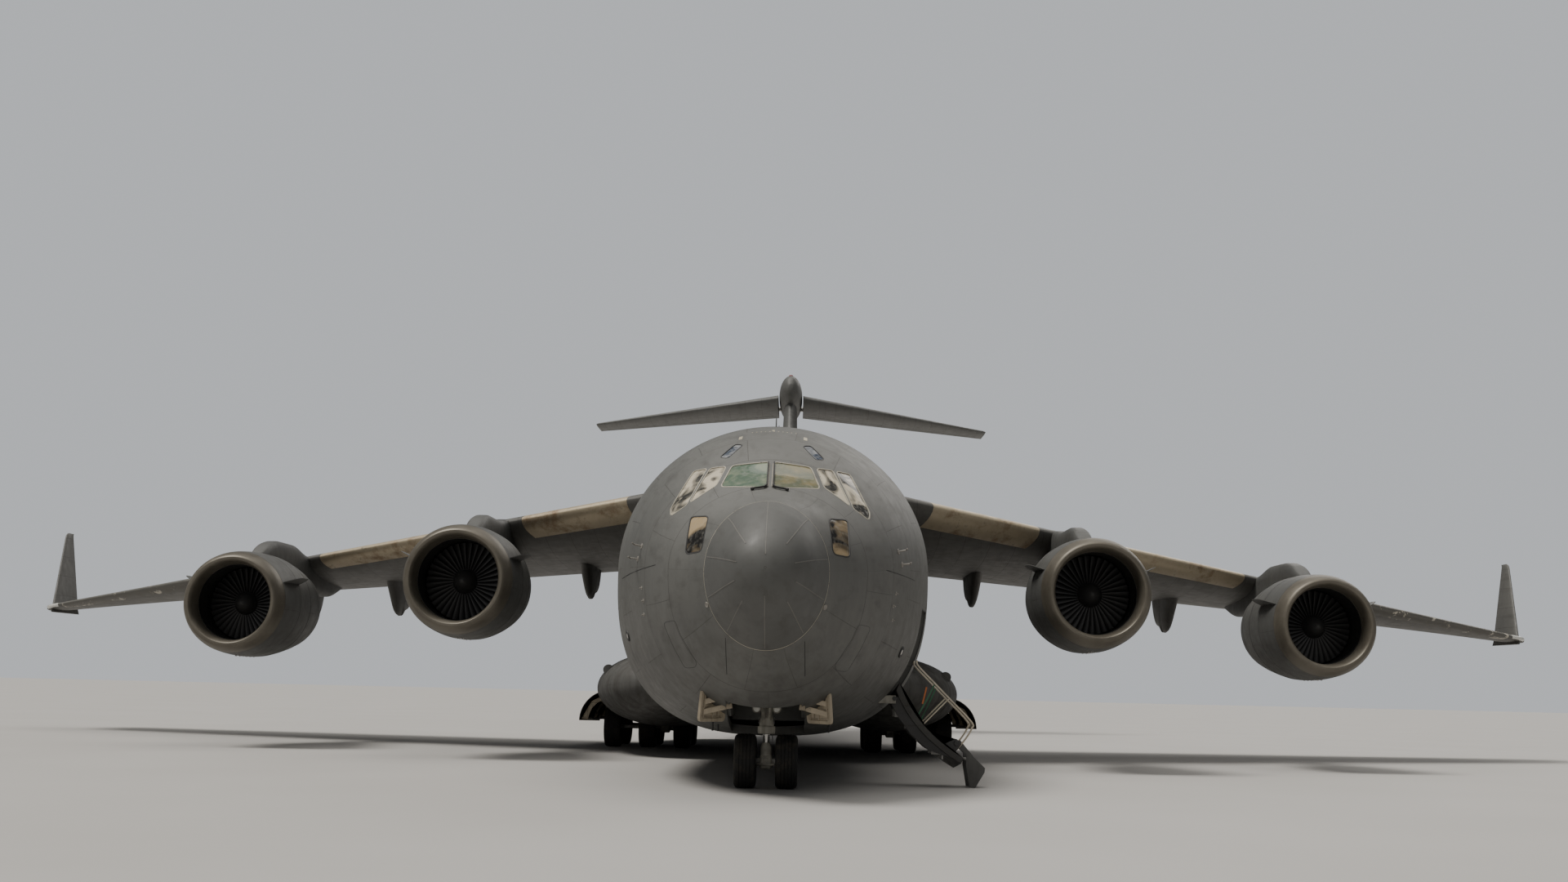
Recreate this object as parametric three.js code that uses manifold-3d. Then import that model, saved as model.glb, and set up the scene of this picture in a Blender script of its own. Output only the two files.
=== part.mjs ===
// A four-engined military transport plane with a high swept wing, a T-tail and a rear loading ramp,
// parked on its wheels, as a half-size model.
//
// The nose points to -Y, +X is the aircraft's left side and +Z is up. Sizes below are written in metres
// of the full-size aircraft, measured from the nose tip and from the ground, and MODEL turns them into
// millimetres of the half-size model. The group is shifted so that the origin lies on the ground under
// the middle of the aircraft.
import * as THREE from 'three';
import { mergeVertices } from 'three/addons/utils/BufferGeometryUtils.js';
import Module from 'manifold-3d';

const wasm = await Module();
wasm.setup();

// Driving dimensions, in full-size metres
const MODEL = 500; // millimetres of model for each metre of aircraft, a half-size model
const LENGTH = 53.04;
const TIP_X = 25.7; // half the span, at the end of the wing tip
const SKIN = 0.15; // thickness of the fuselage wall
const SEAT = 0.0007; // gap between pieces that are seated on each other
const RUN = 0.024; // clearance round a moving surface
const FLOOR_Z = 1.62; // top of the cargo floor

// Colours from the photograph
const PAINT = { grey: 0x4c5154, pale: 0x565b5e, bare: 0x8f8673, dark: 0x191a1b, glass: 0x8a8468,
  tyre: 0x141415, steel: 0x8d8d88, inner: 0xb9ab93, deck: 0x6b6e6c };

// A solid from any closed geometry; its faces are turned outwards
function solid(geometry) {
  const flat = geometry.index ? geometry.toNonIndexed() : geometry;
  const bare = new THREE.BufferGeometry();
  bare.setAttribute('position', flat.getAttribute('position'));
  const merged = mergeVertices(bare, 1e-4);
  const corners = merged.index.array;
  const places = merged.attributes.position.array;
  const faces = [];
  for (let i = 0; i < corners.length; i += 3) {
    const [a, b, c] = [corners[i], corners[i + 1], corners[i + 2]];
    if (a !== b && b !== c && c !== a) faces.push(a, b, c);
  }
  const build = (list) => new wasm.Manifold(new wasm.Mesh({
    numProp: 3, vertProperties: new Float32Array(places), triVerts: new Uint32Array(list) }));
  const made = build(faces);
  if (made.volume() >= 0) return made;
  for (let i = 0; i < faces.length; i += 3) [faces[i + 1], faces[i + 2]] = [faces[i + 2], faces[i + 1]];
  return build(faces);
}

// Joins a list of solids into one
const join = (...parts) => parts.flat().reduce((whole, part) => whole.add(part));

// Cuts a list of solids out of the first
const cut = (first, ...tools) => tools.flat().reduce((rest, tool) => rest.subtract(tool), first);

// A skinned body through closed rings of points, each ring with the same number of points
function loft(rings) {
  const count = rings[0].length;
  const points = rings.flat();
  const middle = (ring) => ring.reduce((sum, p) => sum.add(p), new THREE.Vector3()).divideScalar(count);
  const first = points.push(middle(rings[0])) - 1;
  const last = points.push(middle(rings[rings.length - 1])) - 1;
  const index = [];
  for (let j = 0; j < count; j++) {
    const k = (j + 1) % count;
    for (let i = 0; i + 1 < rings.length; i++) {
      const [a, b] = [i * count, (i + 1) * count];
      const [p, q, r, t] = [a + j, a + k, b + k, b + j];
      // each side of the middle plane has the mirrored diagonals
      if (points[p].x + points[r].x < -1e-6) index.push(p, q, t, q, r, t);
      else index.push(p, q, r, p, r, t);
    }
    const end = (rings.length - 1) * count;
    index.push(first, k, j, last, end + j, end + k);
  }
  const geometry = new THREE.BufferGeometry();
  geometry.setAttribute('position', new THREE.Float32BufferAttribute(
    points.flatMap((p) => [p.x * MODEL, p.y * MODEL, p.z * MODEL]), 3));
  geometry.setIndex(index);
  return solid(geometry);
}

// A box between two corners, in metres
function box([x0, y0, z0], [x1, y1, z1]) {
  const geometry = new THREE.BoxGeometry((x1 - x0) * MODEL, (y1 - y0) * MODEL, (z1 - z0) * MODEL);
  geometry.translate((x0 + x1) / 2 * MODEL, (y0 + y1) / 2 * MODEL, (z0 + z1) / 2 * MODEL);
  return solid(geometry);
}

// A body turned about a lengthways axis through (x, z): its profile is [station, radius] pairs
function turned([x, y, z], profile, sides = 24) {
  const points = profile.map(([along, radius]) => new THREE.Vector2(radius * MODEL, along * MODEL));
  const geometry = new THREE.LatheGeometry(points, sides);
  geometry.translate(x * MODEL, y * MODEL, z * MODEL);
  return solid(geometry);
}

// A round bar between two points, in metres
function bar(from, to, radius, sides = 12) {
  const [a, b] = [new THREE.Vector3(...from), new THREE.Vector3(...to)];
  const geometry = new THREE.CylinderGeometry(radius * MODEL, radius * MODEL, a.distanceTo(b) * MODEL,
    sides);
  const turn = new THREE.Quaternion().setFromUnitVectors(
    new THREE.Vector3(0, 1, 0), b.clone().sub(a).normalize());
  const middle = a.clone().add(b).multiplyScalar(MODEL / 2);
  geometry.applyMatrix4(new THREE.Matrix4().compose(middle, turn, new THREE.Vector3(1, 1, 1)));
  return solid(geometry);
}

// The hole for a round bar: its flats clear the bar's corners by the seating gap
const bore = (from, to, radius, sides = 24) => bar(from, to,
  (radius + SEAT) / Math.cos(Math.PI / sides), sides);

// An outline pushed out into a solid. The map turns (u, v, depth) of the outline into x, y, z
function pushed(outline, depth0, depth1, map) {
  const shape = new THREE.Shape(outline.map(([u, v]) => new THREE.Vector2(u, v)));
  const geometry = new THREE.ExtrudeGeometry(shape, { depth: depth1 - depth0, bevelEnabled: false });
  const places = geometry.getAttribute('position');
  for (let i = 0; i < places.count; i++) {
    const [x, y, z] = map(places.getX(i), places.getY(i), places.getZ(i) + depth0);
    places.setXYZ(i, x * MODEL, y * MODEL, z * MODEL);
  }
  return solid(geometry);
}
const sideways = (u, v, w) => [w, u, v]; // an outline in the side view, pushed out along X
const downwards = (u, v, w) => [u, v, w]; // an outline in the plan view, pushed out along Z
const lengthways = (u, v, w) => [u, w, v]; // an outline in the front view, pushed out along Y

// Geometry of a solid as a named mesh, flat shaded
const aircraft = new THREE.Group();
aircraft.position.y = -LENGTH / 2 * MODEL;
function mesh(name, body, color, roughness = 0.6, metalness = 0.1, group = aircraft) {
  const { vertProperties, triVerts, numProp } = body.getMesh();
  const places = [];
  for (const corner of triVerts) {
    places.push(...vertProperties.subarray(corner * numProp, corner * numProp + 3));
  }
  const geometry = new THREE.BufferGeometry();
  geometry.setAttribute('position', new THREE.Float32BufferAttribute(places, 3));
  geometry.computeVertexNormals();
  const made = new THREE.Mesh(geometry, new THREE.MeshStandardMaterial({ color, roughness, metalness }));
  made.name = name;
  group.add(made);
  return made;
}
const sides = [{ word: 'left', sign: 1 }, { word: 'right', sign: -1 }];
const mirrored = (body, sign) => (sign > 0 ? body : body.mirror([1, 0, 0]));

// Fuselage. Sections from nose to tail
const SECTION_POINTS = 24;
const FUSELAGE = [ // station, half width, top, bottom, height of the widest line, fullness below it
  [0.00, 0.22, 4.03, 3.60, 3.82, 2.0],
  [0.12, 0.42, 4.25, 3.38, 3.82, 2.0],
  [0.45, 0.70, 4.60, 3.02, 3.83, 2.0],
  [1.25, 1.08, 5.07, 2.51, 3.85, 2.0],
  [1.90, 1.55, 5.28, 2.02, 3.90, 2.1],
  [2.70, 2.02, 5.70, 1.62, 3.98, 2.2],
  [3.50, 2.38, 6.22, 1.36, 4.06, 2.25],
  [4.80, 2.80, 6.84, 1.10, 4.14, 2.35],
  [6.50, 3.16, 7.27, 0.95, 4.24, 2.5],
  [8.20, 3.36, 7.60, 0.89, 4.36, 2.7],
  [10.50, 3.43, 7.90, 0.87, 4.42, 2.75],
  [31.00, 3.43, 7.90, 0.87, 4.42, 2.0],
  [34.00, 3.40, 7.90, 1.27, 4.50, 2.0],
  [37.00, 3.30, 7.90, 2.10, 4.70, 2.0],
  [40.00, 3.02, 7.86, 3.10, 5.05, 2.0],
  [43.50, 2.42, 7.74, 4.35, 5.60, 2.0],
  [46.50, 1.50, 7.55, 5.45, 6.35, 2.0],
  [48.90, 0.45, 7.25, 6.45, 6.85, 2.0],
];
const NOSE_END = 10.5;
const CENTRE_END = 31.0;
const lerp = (a, b, t) => a + (b - a) * t;

// Ring of one section, drawn in by an inset: an ellipse above the widest line and a fuller curve below it
function ring([station, halfWidth, top, bottom, waist, fullness], inset) {
  const drawn = (size) => Math.max(0.02, size - inset);
  return Array.from({ length: SECTION_POINTS }, (_, i) => {
    const angle = 2 * Math.PI * (i + 0.5) / SECTION_POINTS;
    const upper = Math.sin(angle) > 0;
    const height = upper ? drawn(top - waist) : drawn(waist - bottom);
    const full = (share) => Math.sign(share) * Math.abs(share) ** (upper ? 1 : 2 / fullness);
    return new THREE.Vector3(drawn(halfWidth) * full(Math.cos(angle)), station,
      waist + height * full(Math.sin(angle)));
  });
}

// The fuselage between two stations, drawn in by an inset
const hulls = new Map();
function fuselage(from, to, inset = 0) {
  if (!hulls.has(inset)) hulls.set(inset, loft(FUSELAGE.map((row) => ring(row, inset))));
  return hulls.get(inset).intersect(box([-6, from, -1], [6, to, 12]));
}

// Wing. Its edges are straight lines, so height and chord run evenly from root to tip
const WING = { leadY: 14.1, leadSweep: 0.5206, leadZ: 7.42, leadDrop: 0.13, rootChord: 11.3, taper: 0.33,
  trailZ: 6.10, trailDrop: 0.071, rootThick: 1.55, tipThick: 0.30, tipStart: 25.0, hingeShare: 0.70,
  crown: 0.58 }; // the upper side is flatter than the lower
const leadingEdge = (x) => [WING.leadY + WING.leadSweep * x, WING.leadZ - WING.leadDrop * x];
const EDGE = 0.006; // half thickness left at the trailing edges
const chordAt = (x) => WING.rootChord - WING.taper * x;

// Half thickness of a smooth aerofoil at a share of its chord, for a full thickness of 1
const halfThickness = (s) => 5 * (0.2969 * Math.sqrt(s) - 0.126 * s - 0.3516 * s ** 2 + 0.2843 * s ** 3
  - 0.1036 * s ** 4);

// Aerofoil ring between a leading and a trailing point; place turns (along, up) into a point
const AEROFOIL_STEPS = 6;
function aerofoil(thickness, grow, place, crown = 1) {
  const points = [];
  for (let i = 0; i <= AEROFOIL_STEPS; i++) {
    const s = (1 - Math.cos(Math.PI * i / AEROFOIL_STEPS)) / 2;
    points.push(place(s, halfThickness(s) * thickness * crown + grow));
  }
  for (let i = AEROFOIL_STEPS; i >= 0; i--) {
    const s = (1 - Math.cos(Math.PI * i / AEROFOIL_STEPS)) / 2;
    points.push(place(s, -halfThickness(s) * thickness - grow));
  }
  return points;
}

function wingRing(x, grow, [leadY, leadZ] = leadingEdge(x), chord = chordAt(x),
  trailZ = WING.trailZ - WING.trailDrop * x) {
  const thickness = lerp(WING.rootThick, WING.tipThick, Math.min(1,
    x / TIP_X)) * (x > WING.tipStart + 0.2 ? 0.4 : 1);
  return aerofoil(thickness, EDGE + grow, (s, up) => new THREE.Vector3(
    x, leadY - grow + s * (chord + 2 * grow), lerp(leadZ, trailZ, s) + up), WING.crown);
}
function wingBody(root, grow = 0) {
  const tip = wingRing(TIP_X, grow, [leadingEdge(TIP_X)[0] + 0.75, leadingEdge(TIP_X)[1] + 0.02], 1.9);
  return loft([wingRing(root, grow), wingRing(WING.tipStart, grow), tip]);
}

// Straight line along the wing at the share of chord where the rear spar lies, and its directions
const unit = (x, y, z) => new THREE.Vector3(x, y, z).normalize();
const wingCentreZ = (x, share) => lerp(WING.leadZ - WING.leadDrop * x, WING.trailZ - WING.trailDrop * x,
  share);
const spanLine = (share) => {
  const start = new THREE.Vector3(0, WING.leadY + share * WING.rootChord, wingCentreZ(0, share));
  const end = new THREE.Vector3(10, WING.leadY + WING.leadSweep * 10 + share * chordAt(10),
    wingCentreZ(10, share));
  return { start, along: end.clone().sub(start).normalize() };
};

// A box laid along a line: s runs along it from x0 to x1, t across it, n up
function lineBox({ start, along }, [x0, x1], [t0, t1], [n0, n1], across = null) {
  const back = across || new THREE.Vector3(-along.y, along.x, 0).normalize();
  const up = along.clone().cross(back);
  const geometry = new THREE.BoxGeometry((x1 - x0) * MODEL, (t1 - t0) * MODEL, (n1 - n0) * MODEL);
  geometry.translate((x0 + x1) / 2 * MODEL, (t0 + t1) / 2 * MODEL, (n0 + n1) / 2 * MODEL);
  geometry.applyMatrix4(new THREE.Matrix4().makeBasis(along, back, up));
  geometry.translate(start.x * MODEL, start.y * MODEL, start.z * MODEL);
  return solid(geometry);
}
// The space of a surface that turns about its own front edge: a round nose, and all that lies behind it
function hingedBox(line, [s0, s1], radius, across = null) {
  const back = across || new THREE.Vector3(-line.along.y, line.along.x, 0).normalize();
  const at = (s) => line.start.clone().addScaledVector(line.along, s).addScaledVector(back,
    radius).toArray();
  return join(lineBox(line, [s0, s1], [radius, 5], [-2.5, 2.5], back), bar(at(s0), at(s1), radius, 12));
}

// Pins along the hinge line of such a surface, across the gap at each of the given places
function hingePins(line, places, radius, across = null, make = bar, size = 0.03) {
  const back = across || new THREE.Vector3(-line.along.y, line.along.x, 0).normalize();
  const at = (s) => line.start.clone().addScaledVector(line.along, s).addScaledVector(back,
    radius).toArray();
  const reach = make === bore ? 0.12 : 0.10;
  return places.map((s) => make(at(s - reach), at(s + reach), size, 12));
}
const alongAt = (line, x) => (x - line.start.x) / line.along.x;

// Trailing edge surfaces of the wing: name, inner and outer end in metres from the middle, hinge drop
const REAR_LINE = spanLine(WING.hingeShare);
const SURFACES = [
  { name: 'flap_inner', from: 4.55, to: 11.3, deep: 4.2, fairings: [6.1, 9.9] },
  { name: 'flap_outer', from: 11.36, to: 17.6, deep: 3.6, fairings: [12.7, 16.0] },
  { name: 'aileron', from: 17.66, to: 24.3, deep: 3.0, fairings: [], nose: 0.20 },
];

// Flap hinge fairings: a deep fin under the wing, split at the hinge, its rear half on the flap
const HINGE_DROP = 1.15;
const FAIRING_HALF = 0.21;
const FLAP_PIN = { radius: 0.05, half: 0.16 };

// The flap's hinge pin at a fairing, lying along the hinge line
function flapPin(x, make = bar) {
  const { start, along } = REAR_LINE;
  const middle = start.clone().addScaledVector(along, alongAt(REAR_LINE, x)).add(new THREE.Vector3(0, 0,
    -HINGE_DROP));
  const end = (sign) => middle.clone().addScaledVector(along,
    sign * (FLAP_PIN.half + (make === bore ? 0.02 : 0))).toArray();
  return make(end(-1), end(1), FLAP_PIN.radius, 16);
}
function fairing(x, front) {
  const [hingeY, spanZ] = [REAR_LINE.start.y + (x - REAR_LINE.start.x) * REAR_LINE.along.y / REAR_LINE.along.x,
    REAR_LINE.start.z + (x - REAR_LINE.start.x) * REAR_LINE.along.z / REAR_LINE.along.x];
  const bottom = spanZ - HINGE_DROP;
  const reach = 0.30 * chordAt(x);
  const outline = front
    ? [[hingeY - reach * 0.95, spanZ], [hingeY - reach * 0.55, spanZ - 0.55],
      [hingeY - 0.30, bottom - 0.16],
      [hingeY + 0.10, bottom - 0.24], [hingeY + 0.10, spanZ]]
    : [[hingeY + 0.02, spanZ], [hingeY + 0.02, bottom + 0.05], [hingeY + 0.16, bottom - 0.12],
      [hingeY + 0.45, bottom - 0.02], [hingeY + reach * 0.45, bottom + 0.10],
      [hingeY + reach * 0.70, spanZ - 0.50], [hingeY + reach * 0.80, spanZ]];
  const blade = pushed(outline, x - FAIRING_HALF, x + FAIRING_HALF, sideways);
  const plan = [[x, hingeY - reach], [x + FAIRING_HALF, hingeY - reach * 0.45],
    [x + FAIRING_HALF, hingeY + 0.5],
    [x, hingeY + reach * 0.8], [x - FAIRING_HALF, hingeY + 0.5], [x - FAIRING_HALF, hingeY - reach * 0.45]];
  return blade.intersect(pushed(plan, bottom - 1, spanZ + 1, downwards));
}

// Slats along the leading edge, in three lengths between the pylons: inner end, outer end, depth
const LEAD_LINE = (() => {
  const [y0, z0] = leadingEdge(0);
  const [y1, z1] = leadingEdge(10);
  return { start: new THREE.Vector3(0, y0, z0), along: unit(10, y1 - y0, z1 - z0) };
})();
const SLATS = [['slat_inner', 4.2, 7.35, 0.62], ['slat_middle', 8.65, 14.15, 0.50],
  ['slat_outer', 15.5, 24.6, 0.36]];

// Engines: sideways place, station of the intake, height of the axis
const ENGINES = [{ word: 'inner', x: 7.96, y: 12.58, z: 4.41 },
  { word: 'outer', x: 14.79, y: 16.06, z: 3.90 }];
const NACELLE_OUTSIDE = [[0, 1.16], [0.06, 1.26], [0.40, 1.37], [1.30, 1.45], [2.40, 1.44], [4.05, 1.20]];
const NACELLE_INSIDE = [[4.05, 1.165], [2.90, 1.20], [1.40, 1.06], [0.60, 1.02], [0.10, 1.08]];
const CORE = [[1.75, 0], [1.75, 0.52], [2.60, 0.76], [3.80, 0.80], [4.90, 0.62], [5.35, 0.52], [5.35, 0.36],
  [5.90, 0.20], [6.15, 0.04], [6.15, 0]];
const PYLON_HALF = 0.27;
const FAN = { radius: 1.0, blades: 10, from: 1.18, to: 1.52 };

function pylonBody({ x, y, z }, grow) {
  const [leadY, leadZ] = leadingEdge(x);
  const [rise, reach] = [leadZ - z, leadY - y];
  const g = grow;
  const outline = [[1.62 - g, 1.28], [1.95 - g, 1.55 + g], [2.45, 1.80 + g], [3.10, 1.92 + g],
    [4.30, 1.93 + g],
    [reach, rise + 0.12 + g], [reach + 2.1, rise + 0.22 + g], [reach + 3.4 + g, rise + 0.05 + g],
      [reach + 4.2 + g, rise - 0.55],
    [reach + 2.2, rise - 1.00 - g], [reach, 0.62 - g], [5.00, 0.42 - g], [4.30, 0.30], [2.05 - g, 0.30],
      [1.62 - g, 0.80]];
  const blade = pushed(outline, -PYLON_HALF - g, PYLON_HALF + g, sideways);
  const plan = [[0, 1.50 - g], [0.16 + g, 1.66], [PYLON_HALF + g, 2.2], [PYLON_HALF + g, reach + 1.2],
    [0.12 + g, reach + 3.6],
    [0, reach + 4.3 + g], [-0.12 - g, reach + 3.6], [-PYLON_HALF - g, reach + 1.2],
      [-PYLON_HALF - g, 2.2], [-0.16 - g, 1.66]];
  const whole = blade.intersect(pushed(plan, -4, 6, downwards));
  return whole.translate([x * MODEL, y * MODEL, z * MODEL]);
}

// Fan: a hub with a pointed spinner and twisted blades
const FAN_SHAFT = { radius: 0.06, from: 1.45, to: 1.90 };
function fanBody({ x, y, z }) {
  const hub = turned([x, y, z], [[0.82, 0], [0.86, 0.09], [1.00, 0.20], [1.18, 0.29], [1.55, 0.34],
    [1.55, 0]], 10);
  const shaft = bar([x, y + FAN_SHAFT.from, z], [x, y + FAN_SHAFT.to, z], FAN_SHAFT.radius, 16);
  const blades = Array.from({ length: FAN.blades }, (_, i) => {
    const blade = new THREE.BoxGeometry(0.03 * MODEL, 0.34 * MODEL, (FAN.radius - 0.26) * MODEL);
    blade.rotateZ(-0.75);
    blade.translate(0, (FAN.from + 0.17) * MODEL, (0.24 + (FAN.radius - 0.26) / 2) * MODEL);
    blade.rotateY(2 * Math.PI * i / FAN.blades);
    blade.translate(x * MODEL, y * MODEL, z * MODEL);
    return solid(blade);
  });
  return join(hub, shaft, blades);
}

// Wheels. A set of wheels on one axle is one body
const TYRE_SIDES = 16;
const AXLE = 0.065; // radius of the axles
function wheelSet([axleY, axleZ], places, radius, width) {
  const half = width / 2;
  const axle = AXLE * Math.cos(Math.PI / TYRE_SIDES);
  const wheel = (x) => [[x - half * 0.8, axle], [x - half, radius * 0.86], [x - half * 0.55, radius],
    [x + half * 0.55, radius], [x + half, radius * 0.86], [x + half * 0.8, axle]];
  const rings = places.flatMap(wheel);
  const profile = [[rings[0][0], 0], ...rings, [rings[rings.length - 1][0], 0]];
  const flats = MODEL / Math.cos(Math.PI / TYRE_SIDES); // the flats of the tyres lie on their rolling circle
  const geometry = new THREE.LatheGeometry(profile.map(([x, r]) => new THREE.Vector2(r * flats,
    x * MODEL)), TYRE_SIDES);
  geometry.rotateZ(-Math.PI / 2);
  geometry.rotateX(Math.PI / TYRE_SIDES);
  geometry.translate(0, axleY * MODEL, axleZ * MODEL);
  return solid(geometry);
}

// Nose wheels and the main wheels, three abreast on each leg
const NOSE = { y: 4.62, radius: 0.508, width: 0.42, track: 0.393 };
const MAIN = { y: 24.67, spread: 1.25, radius: 0.635, width: 0.53, places: [2.97, 4.05, 5.13] };
const MAIN_LEG_X = 3.51;

// Wheel pods at the fuselage's sides: station, outward reach, half height, middle height
const POD_INNER = 3.20;
const POD = [[15.6, 0.25, 0.20, 2.00], [16.3, 1.00, 0.62, 1.92], [17.6, 1.62, 0.92, 1.86],
  [19.6, 2.00, 1.06, 1.82],
  [22.0, 2.10, 1.10, 1.82], [27.4, 2.10, 1.10, 1.82], [29.6, 1.72, 0.98, 1.86],
    [31.6, 1.05, 0.66, 1.96], [32.8, 0.25, 0.20, 2.10]];
const BAY = { from: 22.35, to: 27.0, inner: 2.45, top: 1.74 };
function podBody(sign) {
  const rings = POD.map(([station, reach, half, middle]) => Array.from({ length: 24 }, (_, i) => {
    const angle = 2 * Math.PI * i / 24;
    return new THREE.Vector3(POD_INNER + reach * Math.cos(angle), station, middle + half * Math.sin(angle));
  }));
  const bay = box([BAY.inner, BAY.from, 0], [7, BAY.to, BAY.top]);
  const beside = box([0, RAMP.hingeY - RAMP.nose - 0.05, 0], [2.45, 40, 6]); // room for the ramp
  return mirrored(cut(loft(rings), fuselage(14, 34, -SEAT), bay, beside), sign);
}

// Main wheel doors: a quarter barrel with ribs, swung out about the pod's side
const DOOR = { radius: 0.93, skin: 0.07, edgeX: 5.17, rib: 0.10 };
DOOR.baseZ = BAY.top - SEAT - DOOR.radius; // its upper edge is seated under the pod's lip
function mainDoor(sign) {
  const arc = (radius, steps = 7) => Array.from({ length: steps + 1 }, (_, i) => {
    const angle = Math.PI / 2 * i / steps;
    return [DOOR.edgeX + radius * Math.cos(angle), DOOR.baseZ + radius * Math.sin(angle)];
  });
  const shell = [...arc(DOOR.radius), ...arc(DOOR.radius - DOOR.skin).reverse()];
  const rib = [...arc(DOOR.radius - 0.02), ...arc(DOOR.radius * 0.66).reverse()];
  const foot = [[DOOR.edgeX + 0.30, DOOR.baseZ], [DOOR.edgeX + DOOR.radius, DOOR.baseZ],
    [DOOR.edgeX + DOOR.radius - 0.02, DOOR.baseZ + 0.09], [DOOR.edgeX + 0.30, DOOR.baseZ + 0.09]];
  const ribs = [BAY.from + 0.1, (BAY.from + BAY.to) / 2, BAY.to - 0.1 - DOOR.rib].flatMap((y) => [
    pushed(rib, y, y + DOOR.rib, lengthways), pushed(foot, y, y + DOOR.rib, lengthways)]);
  const hinge = bar([DOOR.edgeX + 0.06, BAY.from + 0.1, BAY.top - 0.06],
    [DOOR.edgeX + 0.06, BAY.to - 0.1, BAY.top - 0.06], 0.055, 12);
  return mirrored(join(pushed(shell, BAY.from + 0.05, BAY.to - 0.05, lengthways), hinge, ribs), sign);
}

// Fuselage openings. The crew door is on the left, low behind the nose
const CREW = { from: 6.20, to: 7.15, hingeX: 2.50, hingeZ: 1.735, openDeg: 114, lean: 20.5, top: 3.51 };
const NOSE_BAY = { from: 2.95, to: 6.0, half: 0.72, top: 2.35 };
const RAMP = { hingeY: 31.0, hingeZ: 1.24, nose: 0.38, end: 36.95, topEnd: 36.80, half: 2.70,
  topRise: 0.185 };
const REAR_DOOR = { from: 37.06, to: 43.4, halfFront: 2.62, halfBack: 1.55,
  skin: 0.16, hingeY: 43.3, hingeZ: 4.75, pin: 0.035, pinEnd: 1.74 };

// Window panes in the front view, as outlines in metres [sideways, up] for the left side
const PANES = [
  { outline: [[0.05, 5.45], [0.90, 5.50], [0.73, 5.97], [0.05, 6.05]] }, // windscreen
  { outline: [[1.00, 5.54], [1.46, 5.21], [1.15, 5.95], [0.86, 5.96]] }, // side window
  { outline: [[1.54, 5.16], [1.82, 4.98], [1.84, 5.12], [1.48, 5.93], [1.23, 5.95]] }, // rear side window
  { outline: [[0.84, 6.19], [0.99, 6.22], [0.73, 6.55], [0.59, 6.52]] }, // brow window
  { outline: [[1.07, 4.85], [1.40, 4.88], [1.44, 4.18], [1.15, 4.20]] }, // chin window
];
const paneTool = (pane, sign, grow) => {
  const corners = pane.outline.length;
  const centre = pane.outline.reduce(([a, b], [u, v]) => [a + u / corners, b + v / corners], [0, 0]);
  const grown = pane.outline.map(([u, v]) => {
    const reach = Math.hypot(u - centre[0], v - centre[1]);
    return [u + (u - centre[0]) * grow / reach, v + (v - centre[1]) * grow / reach];
  });
  return mirrored(pushed(grown, 1, 7, lengthways), sign);
};
const paneTools = (grow) => sides.flatMap(({ sign }) => PANES.map((pane) => paneTool(pane, sign, grow)));

// Lugs on the hull beside the crew door's foot, as [from, to] along the fuselage, with the door's hinge pins
const HINGE_LUGS = [[CREW.from - 0.08, CREW.from - 0.025], [CREW.to + 0.025, CREW.to + 0.08]];
const HINGE_PIN = 0.03;
const hingeLugs = () => HINGE_LUGS.map(
  ([a, b]) => box([2.14, a, CREW.hingeZ - 0.10], [CREW.hingeX + 0.06, b, CREW.hingeZ + 0.06]));
const lugBores = () => HINGE_LUGS.map(([a, b]) => bore(
  [CREW.hingeX, a - 0.03, CREW.hingeZ], [CREW.hingeX, b + 0.03, CREW.hingeZ], HINGE_PIN, 12));

// The crew door's opening as a tool, from the door's outline in the side view
const crewTool = (grow) => {
  const [y0, y1] = [CREW.from - grow, CREW.to + grow];
  return box([1.6, y0, CREW.hingeZ - grow], [3.6, y1, CREW.top + grow]);
};

// The ramp's opening: under the line of its deck, with a round seat for its hinge roll
const deckTop = (y) => RAMP.hingeZ + RAMP.nose + (y - RAMP.hingeY) * RAMP.topRise;
const rollBar = (radius) => bar([-RAMP.half - 0.1, RAMP.hingeY, RAMP.hingeZ],
  [RAMP.half + 0.1, RAMP.hingeY, RAMP.hingeZ], radius, 40);
const rampSlot = join(
  pushed([[RAMP.hingeY, -1], [REAR_DOOR.from, -1], [REAR_DOOR.from, deckTop(REAR_DOOR.from) + RUN],
    [RAMP.hingeY, deckTop(RAMP.hingeY) + RUN]],
    -RAMP.half - 1, RAMP.half + 1, sideways),
  rollBar((RAMP.nose + SEAT) / Math.cos(Math.PI / 40)));
const rearPins = (inner, outer, make = bar, end = 0) => [1, -1].map((sign) => make(
  [sign * inner, REAR_DOOR.hingeY, REAR_DOOR.hingeZ], [sign * (outer + end), REAR_DOOR.hingeY,
    REAR_DOOR.hingeZ], REAR_DOOR.pin, 12));
const rearSlot = (grow, ahead = grow) => pushed([[-REAR_DOOR.halfFront - grow, REAR_DOOR.from - ahead],
  [REAR_DOOR.halfFront + grow, REAR_DOOR.from - ahead],
  [REAR_DOOR.halfBack + grow, REAR_DOOR.to + grow], [-REAR_DOOR.halfBack - grow, REAR_DOOR.to + grow]],
    0, 5.3, downwards);

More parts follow.
